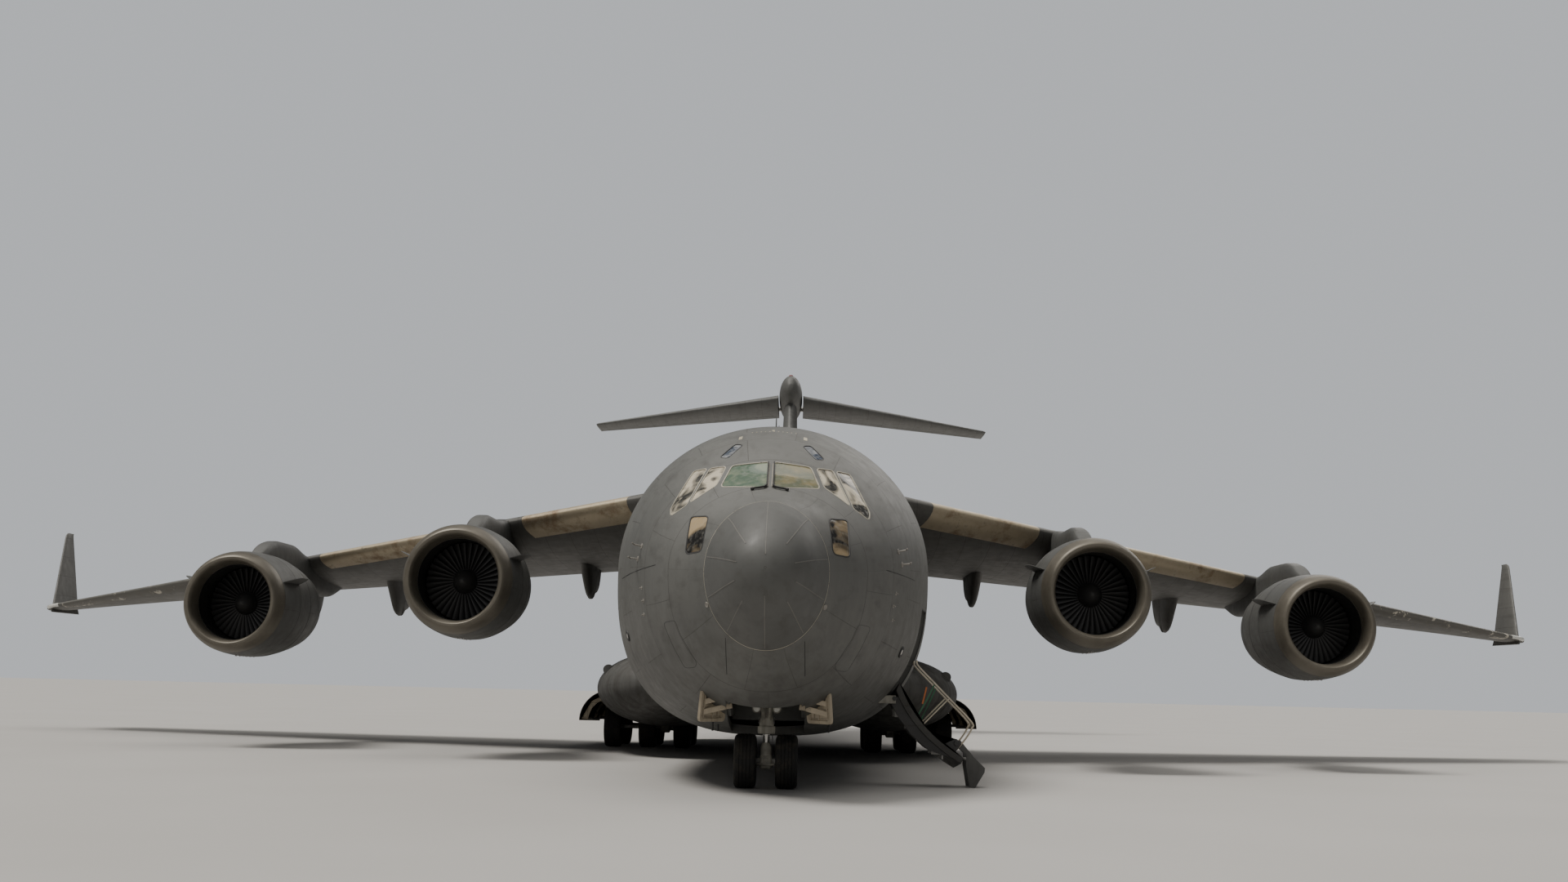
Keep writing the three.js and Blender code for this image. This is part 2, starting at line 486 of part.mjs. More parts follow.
// Radome: the nose tip as far as the line where it hinges up
const RADOME_END = 1.25;
function noseParts() {
  const inside = fuselage(RADOME_END + 0.2, NOSE_END + 1, SKIN);
  const bay = box([-NOSE_BAY.half, NOSE_BAY.from, 0], [NOSE_BAY.half, NOSE_BAY.to, NOSE_BAY.top]);
  const wall = cut(fuselage(RADOME_END + SEAT, NOSE_END), inside, paneTools(0), bay, crewTool(RUN));
  const bayWalls = box([-NOSE_BAY.half - 0.06, NOSE_BAY.from - 0.06, 0.6],
    [NOSE_BAY.half + 0.06, NOSE_BAY.to + 0.06, NOSE_BAY.top + 0.06]);
  const lining = cut(bayWalls.intersect(fuselage(RADOME_END + 0.3, NOSE_END - 0.5, 0.05)), bay);
  mesh('nose_section', cut(join(wall, lining, hingeLugs()), lugBores()), PAINT.grey);
  mesh('radome', fuselage(0, RADOME_END), PAINT.pale);
  const panes = join(paneTools(-0.002));
  const band = cut(fuselage(RADOME_END + 0.22, 5.6, SKIN + SEAT),
    fuselage(RADOME_END + 0.1, 5.8, SKIN + 0.04),
    box([-4, 0, 0], [4, 8, 3.95]));
  const flush = cut(panes.intersect(fuselage(0.8, 7, 0.012)), fuselage(0.9, 7.2, SKIN + 0.02));
  mesh('cockpit_glazing', join(band, flush), PAINT.glass, 0.15, 0.2);
}

// Flight deck: floor, rear bulkhead, instrument panel and seats
const DECK_Z = 4.05;
function flightDeck() {
  const room = fuselage(RADOME_END + 0.4, NOSE_END, SKIN + 0.04 + SEAT * 2);
  const slab = box([-4, 2.2, DECK_Z - 0.12], [4, 8.4, DECK_Z]);
  const wall = box([-4, 8.3, DECK_Z - 0.12], [4, 8.4, 8]);
  const panel = box([-1.15, 2.55, DECK_Z - 0.05], [1.15, 2.95, DECK_Z + 0.92]);
  const stand = box([-0.26, 2.9, DECK_Z - 0.05], [0.26, 4.2, DECK_Z + 0.55]);
  const seats = [[0.68, 3.75], [-0.68, 3.75], [0.75, 5.7], [-0.75, 5.7]].flatMap(([x, y]) => [
    box([x - 0.25, y, DECK_Z - 0.05], [x + 0.25, y + 0.55, DECK_Z + 0.45]),
    box([x - 0.25, y + 0.45, DECK_Z + 0.3], [x + 0.25, y + 0.62, DECK_Z + 1.15])]);
  mesh('flight_deck', join(slab, wall, panel, stand, seats).intersect(room), PAINT.deck);
}

// Crew door with its steps, swung open about the hinge at its foot. Its own frame has u from the hinge
// to the far edge and v into the cabin when the door is shut
const doorPoint = (u, v, degrees = 90 - CREW.lean - CREW.openDeg) => {
  const turn = degrees * Math.PI / 180;
  return [CREW.hingeX + u * Math.cos(turn) - v * Math.sin(turn),
    CREW.hingeZ + u * Math.sin(turn) + v * Math.cos(turn)];
};
const onDoor = (u, v, w) => { const [x, z] = doorPoint(u, v); return [x, w, z]; };
const doorBar = (y, [u0, v0], [u1, v1], radius) => bar(onDoor(u0, v0, y), onDoor(u1, v1, y), radius, 6);
const STEP_PIN = [1.53, 0.30];
const STEP_RADIUS = 0.028;
const doorPointAt = (y) => onDoor(STEP_PIN[0], STEP_PIN[1], y);
const STEP_FOOT = 0.006; // height of the lowest step's feet above the ground
const TREAD = { first: 0.20, pitch: 0.344, count: 4, deep: 0.20, drop: 0.27, thick: 0.03 };
function crewDoor() {
  const shut = cut(fuselage(5, 8.4).intersect(crewTool(0)), fuselage(4.9, 8.5, SKIN));
  const skin = shut.translate([-CREW.hingeX * MODEL, 0, -CREW.hingeZ * MODEL])
    .rotate([0, CREW.openDeg, 0]).translate([CREW.hingeX * MODEL, 0, CREW.hingeZ * MODEL]);
  const [y0, y1] = [CREW.from + 0.07, CREW.to - 0.07];
  const treads = Array.from({ length: TREAD.count }, (_, i) => {
    const [x, z] = doorPoint(TREAD.first + i * TREAD.pitch, -0.07);
    return pushed([[x - 0.05, z], [x + TREAD.deep, z], [x + TREAD.deep, z - TREAD.drop],
      [x + TREAD.deep - TREAD.thick, z - TREAD.drop],
      [x + TREAD.deep - TREAD.thick, z - TREAD.thick], [x - 0.05, z - TREAD.thick]], y0, y1, lengthways);
  });
  const eyes = [y0, y1 - 0.04].map((y) => pushed([[1.31, -0.03], [1.65, 0.02], [1.61, 0.36],
    [1.46, 0.36]], y, y + 0.04, onDoor));
  const rails = [y0 + 0.02, y1 - 0.02].flatMap((y) => [doorBar(y, [1.60, 0.0], [1.45, 0.89], 0.018),
    doorBar(y, [1.46, 0.88], [0.02, 0.93], 0.016), doorBar(y, [0.80, -0.03], [0.80, 0.905], 0.014)]);
  const arms = [CREW.from + 0.01, CREW.to - 0.06].map((y) => pushed(
    [[-0.035, -0.035], [0.30, -0.06], [0.30, 0.12], [0.05, 0.20], [-0.035, 0.035]], y, y + 0.05, onDoor));
  const stubs = [[HINGE_LUGS[0][0] - 0.01, CREW.from + 0.04],
    [CREW.to - 0.04, HINGE_LUGS[1][1] + 0.01]].map(
    ([a, b]) => bar([CREW.hingeX, a, CREW.hingeZ], [CREW.hingeX, b, CREW.hingeZ], HINGE_PIN, 12));
  const pinHole = bore([...doorPointAt(CREW.from)], [...doorPointAt(CREW.to)], STEP_RADIUS, 12);
  mesh('crew_door', cut(join(skin, treads, eyes, rails, arms, stubs), pinHole), PAINT.grey);

  const [s0, s1] = [y0 + 0.06, y1 - 0.06];
  const [pinX, pinZ] = doorPoint(...STEP_PIN);
  const pin = bar([pinX, y0 + 0.005, pinZ], [pinX, y1 - 0.005, pinZ], STEP_RADIUS, 12);
  const legs = [s0, s1 - 0.035].map((y) => pushed([[pinX - 0.03, pinZ - 0.04],
    [pinX - 0.03, pinZ + 0.05], [pinX + 0.08, pinZ + 0.05],
    [4.15, 0.60], [4.375, 0.39], [4.365, 0.31], [4.18, STEP_FOOT], [4.07, STEP_FOOT], [4.00, 0.44],
      [4.01, 0.66], [3.95, 0.72]],
    y, y + 0.035, lengthways));
  const boards = [[3.97, 0.56], [4.145, 0.36]].map(([x, z]) => box([x, s0, z - 0.015],
    [x + 0.22, s1, z + 0.015]));
  mesh('crew_step', join(pin, legs, boards), PAINT.grey);
}

// Cargo floor with the ramp's rounded seat at its rear edge
function cargoFloor() {
  const slab = box([-4, 8.45, FLOOR_Z - 0.40], [4, RAMP.hingeY - 0.1, FLOOR_Z]);
  const hold = fuselage(8, 33, SKIN + SEAT);
  mesh('cargo_floor', cut(slab.intersect(hold), rampSlot), PAINT.deck);
}

function rearParts() {
  const inside = fuselage(CENTRE_END - 1, 44.2, SKIN);
  const wall = cut(fuselage(CENTRE_END + SEAT, 48.9), inside, rampSlot, rearSlot(RUN, 0.09), finBody(SEAT),
    rearPins(1.5, REAR_DOOR.pinEnd, bore, 0.02));
  mesh('aft_section', wall, PAINT.grey);
  const slab = pushed([[RAMP.hingeY, 0.5], [RAMP.end, 0.5], [RAMP.end, 2.1],
    [RAMP.topEnd, deckTop(RAMP.topEnd)], [RAMP.hingeY, deckTop(RAMP.hingeY)]],
    -RAMP.half, RAMP.half, sideways);
  mesh('ramp', join(slab, rollBar(RAMP.nose)).intersect(fuselage(30, 38)), PAINT.grey);
  const doorSkin = cut(fuselage(36.5, 44).intersect(rearSlot(0)), fuselage(36, 44.5, REAR_DOOR.skin));
  mesh('cargo_door', join(doorSkin, rearPins(1.38, REAR_DOOR.pinEnd)), PAINT.grey);
}

// Fin and rudder. Sections run from the fin's root to its top
const FIN = { rootY: 38.3, rootZ: 6.9, rootChord: 9.9, topY: 45.55, topZ: 15.35, topChord: 6.0,
  rootThick: 1.0, topThick: 0.62 };
function finRing(share, grow) {
  const [lead, chord] = [lerp(FIN.rootY, FIN.topY, share), lerp(FIN.rootChord, FIN.topChord, share)];
  return aerofoil(lerp(FIN.rootThick, FIN.topThick, share), EDGE + grow, (s, out) => new THREE.Vector3(
    out, lead - grow + s * (chord + 2 * grow), lerp(FIN.rootZ, FIN.topZ, share)));
}
function finBody(grow = 0) { return loft([finRing(0, grow), finRing(1, grow)]); }

// Fairing at the top of the fin that the tailplane turns in
const BULLET = [[0, 0], [0.05, 0.16], [0.35, 0.36], [1.10, 0.50], [2.60, 0.56], [4.60, 0.52],
  [6.20, 0.34], [7.10, 0.10], [7.20, 0]];
const TAIL = { y: 44.9, z: 15.75, pivotY: 49.6, pivotZ: 15.75, rootX: 0.60, rootLead: 46.4,
  rootChord: 5.3, tipX: 9.905,
  tipLead: 50.95, tipChord: 2.09, tipZ: 15.02, rootThick: 0.62, tipThick: 0.20, shaft: 0.12 };
const RUDDER_LINE = (() => {
  const at = (share) => new THREE.Vector3(0, lerp(FIN.rootY + 0.72 * FIN.rootChord,
    FIN.topY + 0.68 * FIN.topChord, share),
    lerp(FIN.rootZ, FIN.topZ, share));
  return { start: at(0), along: at(1).sub(at(0)).normalize() };
})();
const RUDDERS = [['rudder_lower', 1.76, 5.0, 0.27], ['rudder_upper', 5.06, 8.75, 0.23]];
const ELEVATOR = { from: 0.35, to: 9.2, nose: 0.19 };
const tailRing = (x, grow) => {
  const share = (x - TAIL.rootX) / (TAIL.tipX - TAIL.rootX);
  const [lead, chord] = [lerp(TAIL.rootLead, TAIL.tipLead, share),
    lerp(TAIL.rootChord, TAIL.tipChord, share)];
  return aerofoil(lerp(TAIL.rootThick, TAIL.tipThick, share), EDGE + grow, (s, up) => new THREE.Vector3(
    x, lead + s * chord, lerp(TAIL.z - 0.08, TAIL.tipZ, share) + up));
};
const TAIL_LINE = (() => {
  const at = (share) => new THREE.Vector3(lerp(TAIL.rootX, TAIL.tipX, share),
    lerp(TAIL.rootLead + 0.66 * TAIL.rootChord, TAIL.tipLead + 0.62 * TAIL.tipChord, share),
      lerp(TAIL.z - 0.08, TAIL.tipZ, share));
  return { start: at(0), along: at(1).sub(at(0)).normalize() };
})();

function tailParts() {
  const squash = 1.55; // the fairing is taller than wide
  const bullet = turned([0, TAIL.y, 0], BULLET, 20).scale([1, 1, squash]).translate([0, 0,
    (TAIL.z + 0.17) * MODEL]);
  const across = new THREE.Vector3(1, 0, 0).cross(RUDDER_LINE.along).normalize().negate();
  const tool = ([, s0, s1], grow) => lineBox(RUDDER_LINE, [s0 - grow, s1 + grow], [-grow, 5], [-2, 2],
    across);
  const hole = bore([-2, TAIL.pivotY, TAIL.pivotZ], [2, TAIL.pivotY, TAIL.pivotZ], TAIL.shaft);
  const rudderEnds = [[RUDDERS[0][1], RUDDERS[0][3]], [RUDDERS[1][2], RUDDERS[1][3]]];
  const rudderHoles = rudderEnds.map(([s, nose]) => hingePins(RUDDER_LINE, [s], nose, across, bore));
  const flats = [box([0.56, 40, 12], [2, 54, 18]), box([-2, 40, 12], [-0.56, 54, 18])];
  const fin = cut(join(finBody(), bullet), RUDDERS.map((row) => tool(row, RUN)), hole, flats,
    rudderHoles.flat());
  const cleared = cut(fin, fuselage(36, 48.9, -SEAT).intersect(box([-4, 30, 0], [4, 50, 7.0])));
  mesh('fin', cleared, PAINT.grey);
  RUDDERS.forEach(([name, s0, s1, nose], i) => {
    const pins = hingePins(RUDDER_LINE, [i === 0 ? s0 : s1], nose, across);
    mesh(name, join(finBody().intersect(hingedBox(RUDDER_LINE, [s0, s1], nose, across)), pins), PAINT.grey);
  });
  const panel = loft([tailRing(TAIL.rootX, 0), tailRing(TAIL.tipX, 0)]);
  const slot = lineBox(TAIL_LINE, [ELEVATOR.from - RUN, ELEVATOR.to + RUN], [-RUN, 4], [-2, 2]);
  const moving = hingedBox(TAIL_LINE, [ELEVATOR.from, ELEVATOR.to], ELEVATOR.nose);
  const shaft = bar([-1.2, TAIL.pivotY, TAIL.pivotZ], [1.2, TAIL.pivotY, TAIL.pivotZ], TAIL.shaft, 24);
  const elevatorPins = (make) => hingePins(TAIL_LINE, [ELEVATOR.to], ELEVATOR.nose, null, make, 0.022);
  const fixed = cut(panel, slot, elevatorPins(bore));
  mesh('tailplane', join(shaft, fixed, mirrored(fixed, -1)), PAINT.grey);
  sides.forEach(({ word, sign }) => mesh(`elevator_${word}`, mirrored(join(panel.intersect(moving),
    elevatorPins(bar)), sign), PAINT.grey));
}

// Winglet: an upright fin on the wing tip
const WINGLET = { baseX: 25.12, baseY: 27.35, baseZ: 4.12, baseChord: 1.85, topX: 25.82, topY: 29.25,
  topZ: 6.88, topChord: 0.50 };
const wingletBody = () => loft([0, 1].map((share) => {
  const [chord, lead] = [lerp(WINGLET.baseChord, WINGLET.topChord, share),
    lerp(WINGLET.baseY, WINGLET.topY, share)];
  return aerofoil(lerp(0.22, 0.09, share), 0.004, (s, out) => new THREE.Vector3(
    lerp(WINGLET.baseX, WINGLET.topX, share) + out, lead + s * chord,
      lerp(WINGLET.baseZ, WINGLET.topZ, share)));
}));

function wings() {
  const full = wingBody(0.0005);
  const slatTool = ([, from, to, deep], back, end) => lineBox(LEAD_LINE,
    [alongAt(LEAD_LINE, from) - end, alongAt(LEAD_LINE, to) + end], [-2, deep + back], [-1.5, 1.5]);
  const surfaceTool = ({ from, to, deep }, grow) => lineBox(REAR_LINE,
    [alongAt(REAR_LINE, from) - grow, alongAt(REAR_LINE, to) + grow], [-grow, deep + 3], [-2.5, 2.5]);
  const pylons = ENGINES.map((engine) => pylonBody(engine, SEAT));
  const fixedFairings = SURFACES.flatMap((row) => row.fairings.map(
    (x) => cut(fairing(x, true), surfaceTool(row, RUN), flapPin(x, bore))));
  const box1 = cut(full, SLATS.map((row) => slatTool(row, SEAT, SEAT)),
    SURFACES.map((row) => surfaceTool(row, RUN)), pylons);
  const aileron = SURFACES.find((row) => row.nose);
  const aileronHole = hingePins(REAR_LINE, [alongAt(REAR_LINE, aileron.to)], aileron.nose, null, bore);
  const fixed = cut(join(box1, fixedFairings, wingletBody()), aileronHole);
  sides.forEach(({ word, sign }) => {
    mesh(`wing_${word}`, mirrored(fixed, sign), PAINT.grey);
    SLATS.forEach((row) => {
      const slat = cut(full.intersect(slatTool(row, 0, 0)), pylons);
      mesh(`${row[0]}_${word}`, mirrored(slat, sign), PAINT.bare, 0.4, 0.6);
    });
    SURFACES.forEach((row) => {
      const ends = [alongAt(REAR_LINE, row.from), alongAt(REAR_LINE, row.to)];
      const surface = full.intersect(row.nose ? hingedBox(REAR_LINE, ends, row.nose) : surfaceTool(row, 0));
      const rear = row.fairings.map((x) => join(fairing(x, false).intersect(surfaceTool(row, 0)),
        flapPin(x)));
      const whole = join(surface, rear, row.nose ? hingePins(REAR_LINE, [ends[1]], row.nose) : []);
      mesh(`${row.name}_${word}`, mirrored(whole, sign), PAINT.grey);
    });
  });
}

function centreSection() {
  const hump = loft([[12.6, 0.6, 0.02], [13.6, 1.5, 0.22], [15.2, 2.1, 0.42], [24.5, 2.1, 0.42],
    [27.5, 1.6, 0.25], [29.6, 0.6, 0.02]]
    .map(([station, half, rise]) => Array.from({ length: 24 }, (_, i) => {
      const angle = 2 * Math.PI * i / 24;
      return new THREE.Vector3(half * Math.cos(angle), station, 7.55 + (0.35 + rise) * Math.sin(angle));
    })));
  const outer = join(fuselage(NOSE_END + SEAT, CENTRE_END), cut(hump,
    fuselage(NOSE_END + 1, CENTRE_END, 0.02)));
  const inside = fuselage(NOSE_END - 1, CENTRE_END + 1, SKIN);
  const half = wingBody(-0.001, SEAT);
  const wall = cut(outer, inside, half, mirrored(half, -1), rampSlot);
  mesh('centre_section', wall, PAINT.grey);
}

function engines() {
  ENGINES.forEach((engine) => sides.forEach(({ word, sign }) => {
    const at = [engine.x, engine.y, engine.z];
    const shell = turned(at, [...NACELLE_OUTSIDE, ...NACELLE_INSIDE, NACELLE_OUTSIDE[0]]);
    const name = `${engine.word}_${word}`;
    mesh(`nacelle_${name}`, mirrored(cut(shell, pylonBody(engine, SEAT)), sign), PAINT.grey);
    const shaftHole = bore([engine.x, engine.y + 1.6, engine.z],
      [engine.x, engine.y + FAN_SHAFT.to + 0.03, engine.z], FAN_SHAFT.radius, 16);
    mesh(`pylon_${name}`, mirrored(cut(join(pylonBody(engine, 0), turned(at, CORE, 12)), shaftHole),
      sign), PAINT.grey);
    mesh(`fan_${name}`, mirrored(fanBody(engine), sign), PAINT.dark, 0.4, 0.5);
  }));
}

function landingGear() {
  const axleZ = NOSE.radius;
  const PISTON = 0.065; // radius of the nose leg's piston
  mesh('nose_wheels', wheelSet([NOSE.y, axleZ], [-NOSE.track, NOSE.track], NOSE.radius, NOSE.width),
    PAINT.tyre, 0.9, 0);
  const eye = cut(bar([-0.11, NOSE.y, axleZ], [0.11, NOSE.y, axleZ], 0.15, 14),
    bore([-0.3, NOSE.y, axleZ], [0.3, NOSE.y, axleZ], AXLE));
  const piston = bar([0, NOSE.y, axleZ + 0.11], [0, NOSE.y, 1.30], PISTON, 24);
  const collar = bar([0, NOSE.y, 0.62], [0, NOSE.y, 0.80], 0.10, 12);
  const tow = join(box([-0.05, NOSE.y - 0.20, axleZ - 0.06], [0.05, NOSE.y - 0.12, axleZ + 0.06]),
    bar([-0.13, NOSE.y - 0.19, axleZ - 0.05], [0.13, NOSE.y - 0.19, axleZ - 0.05], 0.025, 12));
  mesh('nose_fork', join(eye, piston, collar, tow), PAINT.steel, 0.4, 0.5);
  const casing = join(bar([0, NOSE.y, 1.02], [0, NOSE.y, 2.20], 0.135, 14),
    bar([0, NOSE.y, 1.02], [0, NOSE.y, 1.16], 0.165, 14));
  const pistonHole = bore([0, NOSE.y, 0.9], [0, NOSE.y, 1.35], PISTON);
  const trunnion = bar([-NOSE_BAY.half + SEAT, NOSE.y, 2.10], [NOSE_BAY.half - SEAT, NOSE.y, 2.10], 0.09);
  const brace = bar([0, NOSE.y - 0.1, 1.30], [0, 3.15, 2.28], 0.045);
  const cross = bar([-0.21, NOSE.y - 0.20, 1.50], [0.21, NOSE.y - 0.20, 1.50], 0.03, 12);
  const arm = box([-0.04, NOSE.y - 0.22, 1.44], [0.04, NOSE.y - 0.05, 1.56]);
  const lamps = [-0.19, 0.19].map((x) => bar([x, NOSE.y - 0.17, 1.50], [x, NOSE.y - 0.31, 1.50], 0.085,
    10));
  mesh('nose_leg', cut(join(casing, trunnion, brace, cross, arm, lamps), pistonHole), PAINT.steel, 0.4,
    0.5);

  // Nose wheel doors hang open beside the bay on two arms each
  sides.forEach(({ word, sign }) => {
    const panel = box([0, -0.05, -0.36], [0.06, 1.25, 0.34]);
    const skin = panel.rotate([0, -5, 13]).translate([1.14 * MODEL, 3.05 * MODEL, 1.52 * MODEL]);
    const arms = [[3.10, 1.60, 1.13], [3.10, 1.42, 1.13]].map(([y, z, x]) => bar([x, y + 0.03, z],
      [NOSE_BAY.half - 0.01, y + 0.18, z + 0.12], 0.04, 10));
    mesh(`nose_door_${word}`, mirrored(cut(join(skin, arms), fuselage(1.5, 8, -SEAT)), sign), PAINT.inner);
  });

  // Main legs: two posts a side, joined by the beam that carries them in the pod
  const mainZ = MAIN.radius;
  const rows = [{ word: 'front', y: MAIN.y - MAIN.spread }, { word: 'rear', y: MAIN.y + MAIN.spread }];
  sides.forEach(({ word, sign }) => {
    const posts = rows.flatMap(({ y }) => [
      bar([MAIN_LEG_X, y, mainZ + 0.12], [MAIN_LEG_X, y, 1.66], 0.10, 12),
      cut(bar([MAIN_LEG_X - 0.14, y, mainZ], [MAIN_LEG_X + 0.14, y, mainZ], 0.17, 14),
        bore([MAIN_LEG_X - 1, y, mainZ], [MAIN_LEG_X + 1, y, mainZ], AXLE))]);
    const beam = box([MAIN_LEG_X - 0.25, BAY.from + SEAT, 1.45], [MAIN_LEG_X + 0.25, BAY.to - SEAT, 1.70]);
    mesh(`main_leg_${word}`, mirrored(join(beam, posts), sign), PAINT.steel, 0.4, 0.5);
    rows.forEach((row) => mesh(`main_wheels_${row.word}_${word}`,
      mirrored(wheelSet([row.y, mainZ], MAIN.places, MAIN.radius, MAIN.width), sign), PAINT.tyre, 0.9, 0));
    mesh(`wheel_pod_${word}`, podBody(sign), PAINT.grey);
    mesh(`main_door_${word}`, mainDoor(sign), PAINT.grey);
  });
}

noseParts();
flightDeck();
crewDoor();
cargoFloor();
centreSection();
rearParts();
wings();
engines();
tailParts();
landingGear();

export default aircraft;
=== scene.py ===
# A four-engined military transport plane with a high swept wing and a T-tail, parked on its wheels with
# the crew door down. Nose to -Y, +X its left side. Sizes are in metres of the full-size aircraft, measured
# from the nose tip and the ground; at() turns them into the half-size model's own metres.
import math

import bpy
import numpy as np
from mathutils import Matrix, Vector


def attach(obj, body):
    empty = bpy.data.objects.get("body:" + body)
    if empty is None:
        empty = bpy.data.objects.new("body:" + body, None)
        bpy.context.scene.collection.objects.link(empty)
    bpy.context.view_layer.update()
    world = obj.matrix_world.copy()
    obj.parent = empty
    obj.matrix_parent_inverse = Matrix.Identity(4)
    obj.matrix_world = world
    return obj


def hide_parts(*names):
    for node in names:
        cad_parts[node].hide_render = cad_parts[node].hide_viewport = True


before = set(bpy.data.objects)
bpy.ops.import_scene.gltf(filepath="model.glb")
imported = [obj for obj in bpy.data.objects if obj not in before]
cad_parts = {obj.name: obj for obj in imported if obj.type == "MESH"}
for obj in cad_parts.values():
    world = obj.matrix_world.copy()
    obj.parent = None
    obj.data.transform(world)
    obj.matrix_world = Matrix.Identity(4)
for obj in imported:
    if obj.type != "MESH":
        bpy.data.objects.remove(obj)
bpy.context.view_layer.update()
scene = bpy.context.scene

# ------------------------------------------------------------------------------
# Camera: low in front of the nose, tilted up a little and rolled just over one degree
yaw, pitch, roll = (math.radians(a) for a in (-0.663, 9.395, 1.296))
ahead = Vector((math.sin(yaw) * math.cos(pitch), math.cos(yaw) * math.cos(pitch), math.sin(pitch)))
across = Vector((math.cos(yaw), -math.sin(yaw), 0))
above = Vector((-math.sin(yaw) * math.sin(pitch), -math.cos(yaw) * math.sin(pitch), math.cos(pitch)))
axes = Matrix((across * math.cos(roll) + above * math.sin(roll),
               above * math.cos(roll) - across * math.sin(roll), -ahead)).transposed()
camera = bpy.data.objects.new("camera", bpy.data.cameras.new("camera"))
camera.data.sensor_width = 36
camera.data.lens = 34.67
camera.data.clip_end = 400
camera.matrix_world = Matrix.Translation((0.274, -25.62, 0.918)) @ axes.to_4x4()
scene.collection.objects.link(camera)
scene.camera = camera


# ------------------------------------------------------------------------------
# Ground and light: a pale matt floor, a soft sky and four broad soft lamps, the brightest of them high on
# the aircraft's right side, the others above, ahead of and behind it
def node(tree, kind, inputs=None, **settings):
    """One shader node; inputs gives a value or a socket for each input by name or number."""
    made = tree.nodes.new("ShaderNode" + kind)
    for key, value in settings.items():
        setattr(made, key, value)
    for key, value in (inputs or {}).items():
        if isinstance(value, bpy.types.NodeSocket):
            tree.links.new(value, made.inputs[key])
        else:
            made.inputs[key].default_value = value
    return made


def mix(tree, share, a, b, blend="MIX"):
    """Colour a turning into colour b by a share."""
    return node(tree, "Mix", {0: share, 6: a, 7: b}, data_type="RGBA", blend_type=blend).outputs[2]


def spread(tree, value, low, high, to_low=0.0, to_high=1.0):
    """A value between low and high stretched to a new range, and held there outside it."""
    return node(tree, "MapRange", {"Value": value, "From Min": low, "From Max": high,
                                   "To Min": to_low, "To Max": to_high}).outputs[0]


def noise(tree, place, scale, detail, rough=0.5, bend=0.0):
    """Cloudy values between 0 and 1."""
    return node(tree, "TexNoise", {"Vector": place, "Scale": scale, "Detail": detail, "Roughness": rough,
                                   "Distortion": bend}).outputs[0]


def math_node(tree, what, a, b=0.0):
    """One sum, product or the like of two values."""
    return node(tree, "Math", {0: a, 1: b}, operation=what).outputs[0]


def grey(r, g=None, b=None):
    """An opaque colour; a single number gives an even grey."""
    return (r, r if g is None else g, r if b is None else b, 1.0)


def coated(name, **fixed):
    """An empty material, its node tree, its Principled shader and the piece's own coordinates."""
    made = bpy.data.materials.new(name)
    made.use_nodes = True
    tree = made.node_tree
    shader = tree.nodes["Principled BSDF"]
    for key, value in fixed.items():
        shader.inputs[key.replace("_", " ")].default_value = value
    return made, tree, shader, node(tree, "TexCoord").outputs["Object"]


def wire(tree, shader, colour, rough=None, height=None, strength=0.3, depth=0.001):
    """Joins a colour, a roughness and the height of a bump to a shader."""
    tree.links.new(colour, shader.inputs["Base Color"])
    if rough:
        tree.links.new(rough, shader.inputs["Roughness"])
    if height:
        bump = node(tree, "Bump", {"Height": height, "Strength": strength, "Distance": depth})
        tree.links.new(bump.outputs[0], shader.inputs["Normal"])


floor_mat, tree, shader, spot = coated("ground_pale", Roughness=0.85)
grain = noise(tree, spot, 0.35, 5.0)
wire(tree, shader, mix(tree, grain, grey(0.37, 0.36, 0.345), grey(0.42, 0.41, 0.395)))
floor = bpy.data.meshes.new("ground")
floor.from_pydata([(-300, -300, 0), (300, -300, 0), (300, 300, 0), (-300, 300, 0)], [], [(0, 1, 2, 3)])
floor.materials.append(floor_mat)
floor = bpy.data.objects.new("ground", floor)
scene.collection.objects.link(floor)

world = bpy.data.worlds.new("sky")
world.use_nodes = True
seen = node(world.node_tree, "LightPath").outputs["Is Camera Ray"]
sky = world.node_tree.nodes["Background"].inputs
sky["Color"].default_value = (0.86, 0.89, 0.93, 1)
world.node_tree.links.new(spread(world.node_tree, seen, 0.0, 1.0, 0.17, 0.62), sky["Strength"])
scene.world = world
for label, spot, power, width in (("key_light", (-15, -7, 33), 3.1, 20), ("top_light", (3, 2, 36), 1.2, 60),
                                  ("front_light", (-6, -42, 15), 0.22, 30),
                                  ("rear_light", (16, 34, 20), 0.5, 30)):
    light = bpy.data.lights.new(label, "SUN")
    light.energy = power
    light.angle = math.radians(width)
    light.color = (1.0, 0.96, 0.90)
    lamp = bpy.data.objects.new(label, light)
    lamp.location = spot
    lamp.rotation_euler = Vector((-spot[0], -spot[1], -spot[2])).to_track_quat("-Z", "Y").to_euler()
    scene.collection.objects.link(lamp)


# ------------------------------------------------------------------------------
# Fuselage: a thin painted shell of near-round sections, hollow for its whole length, in three joined
# lengths. Windows, the crew doorway, the nose wheel bay, the wheel pods' bays and the ramp are cut out.
def at(points):
    """Full-size metres from the nose tip and the ground turned into the model's metres."""
    return (np.asarray(points, float) - (0, 26.52, 0)) * 0.5


def lerp(a, b, t):
    """The value a share t of the way from a to b."""
    return a + (b - a) * t


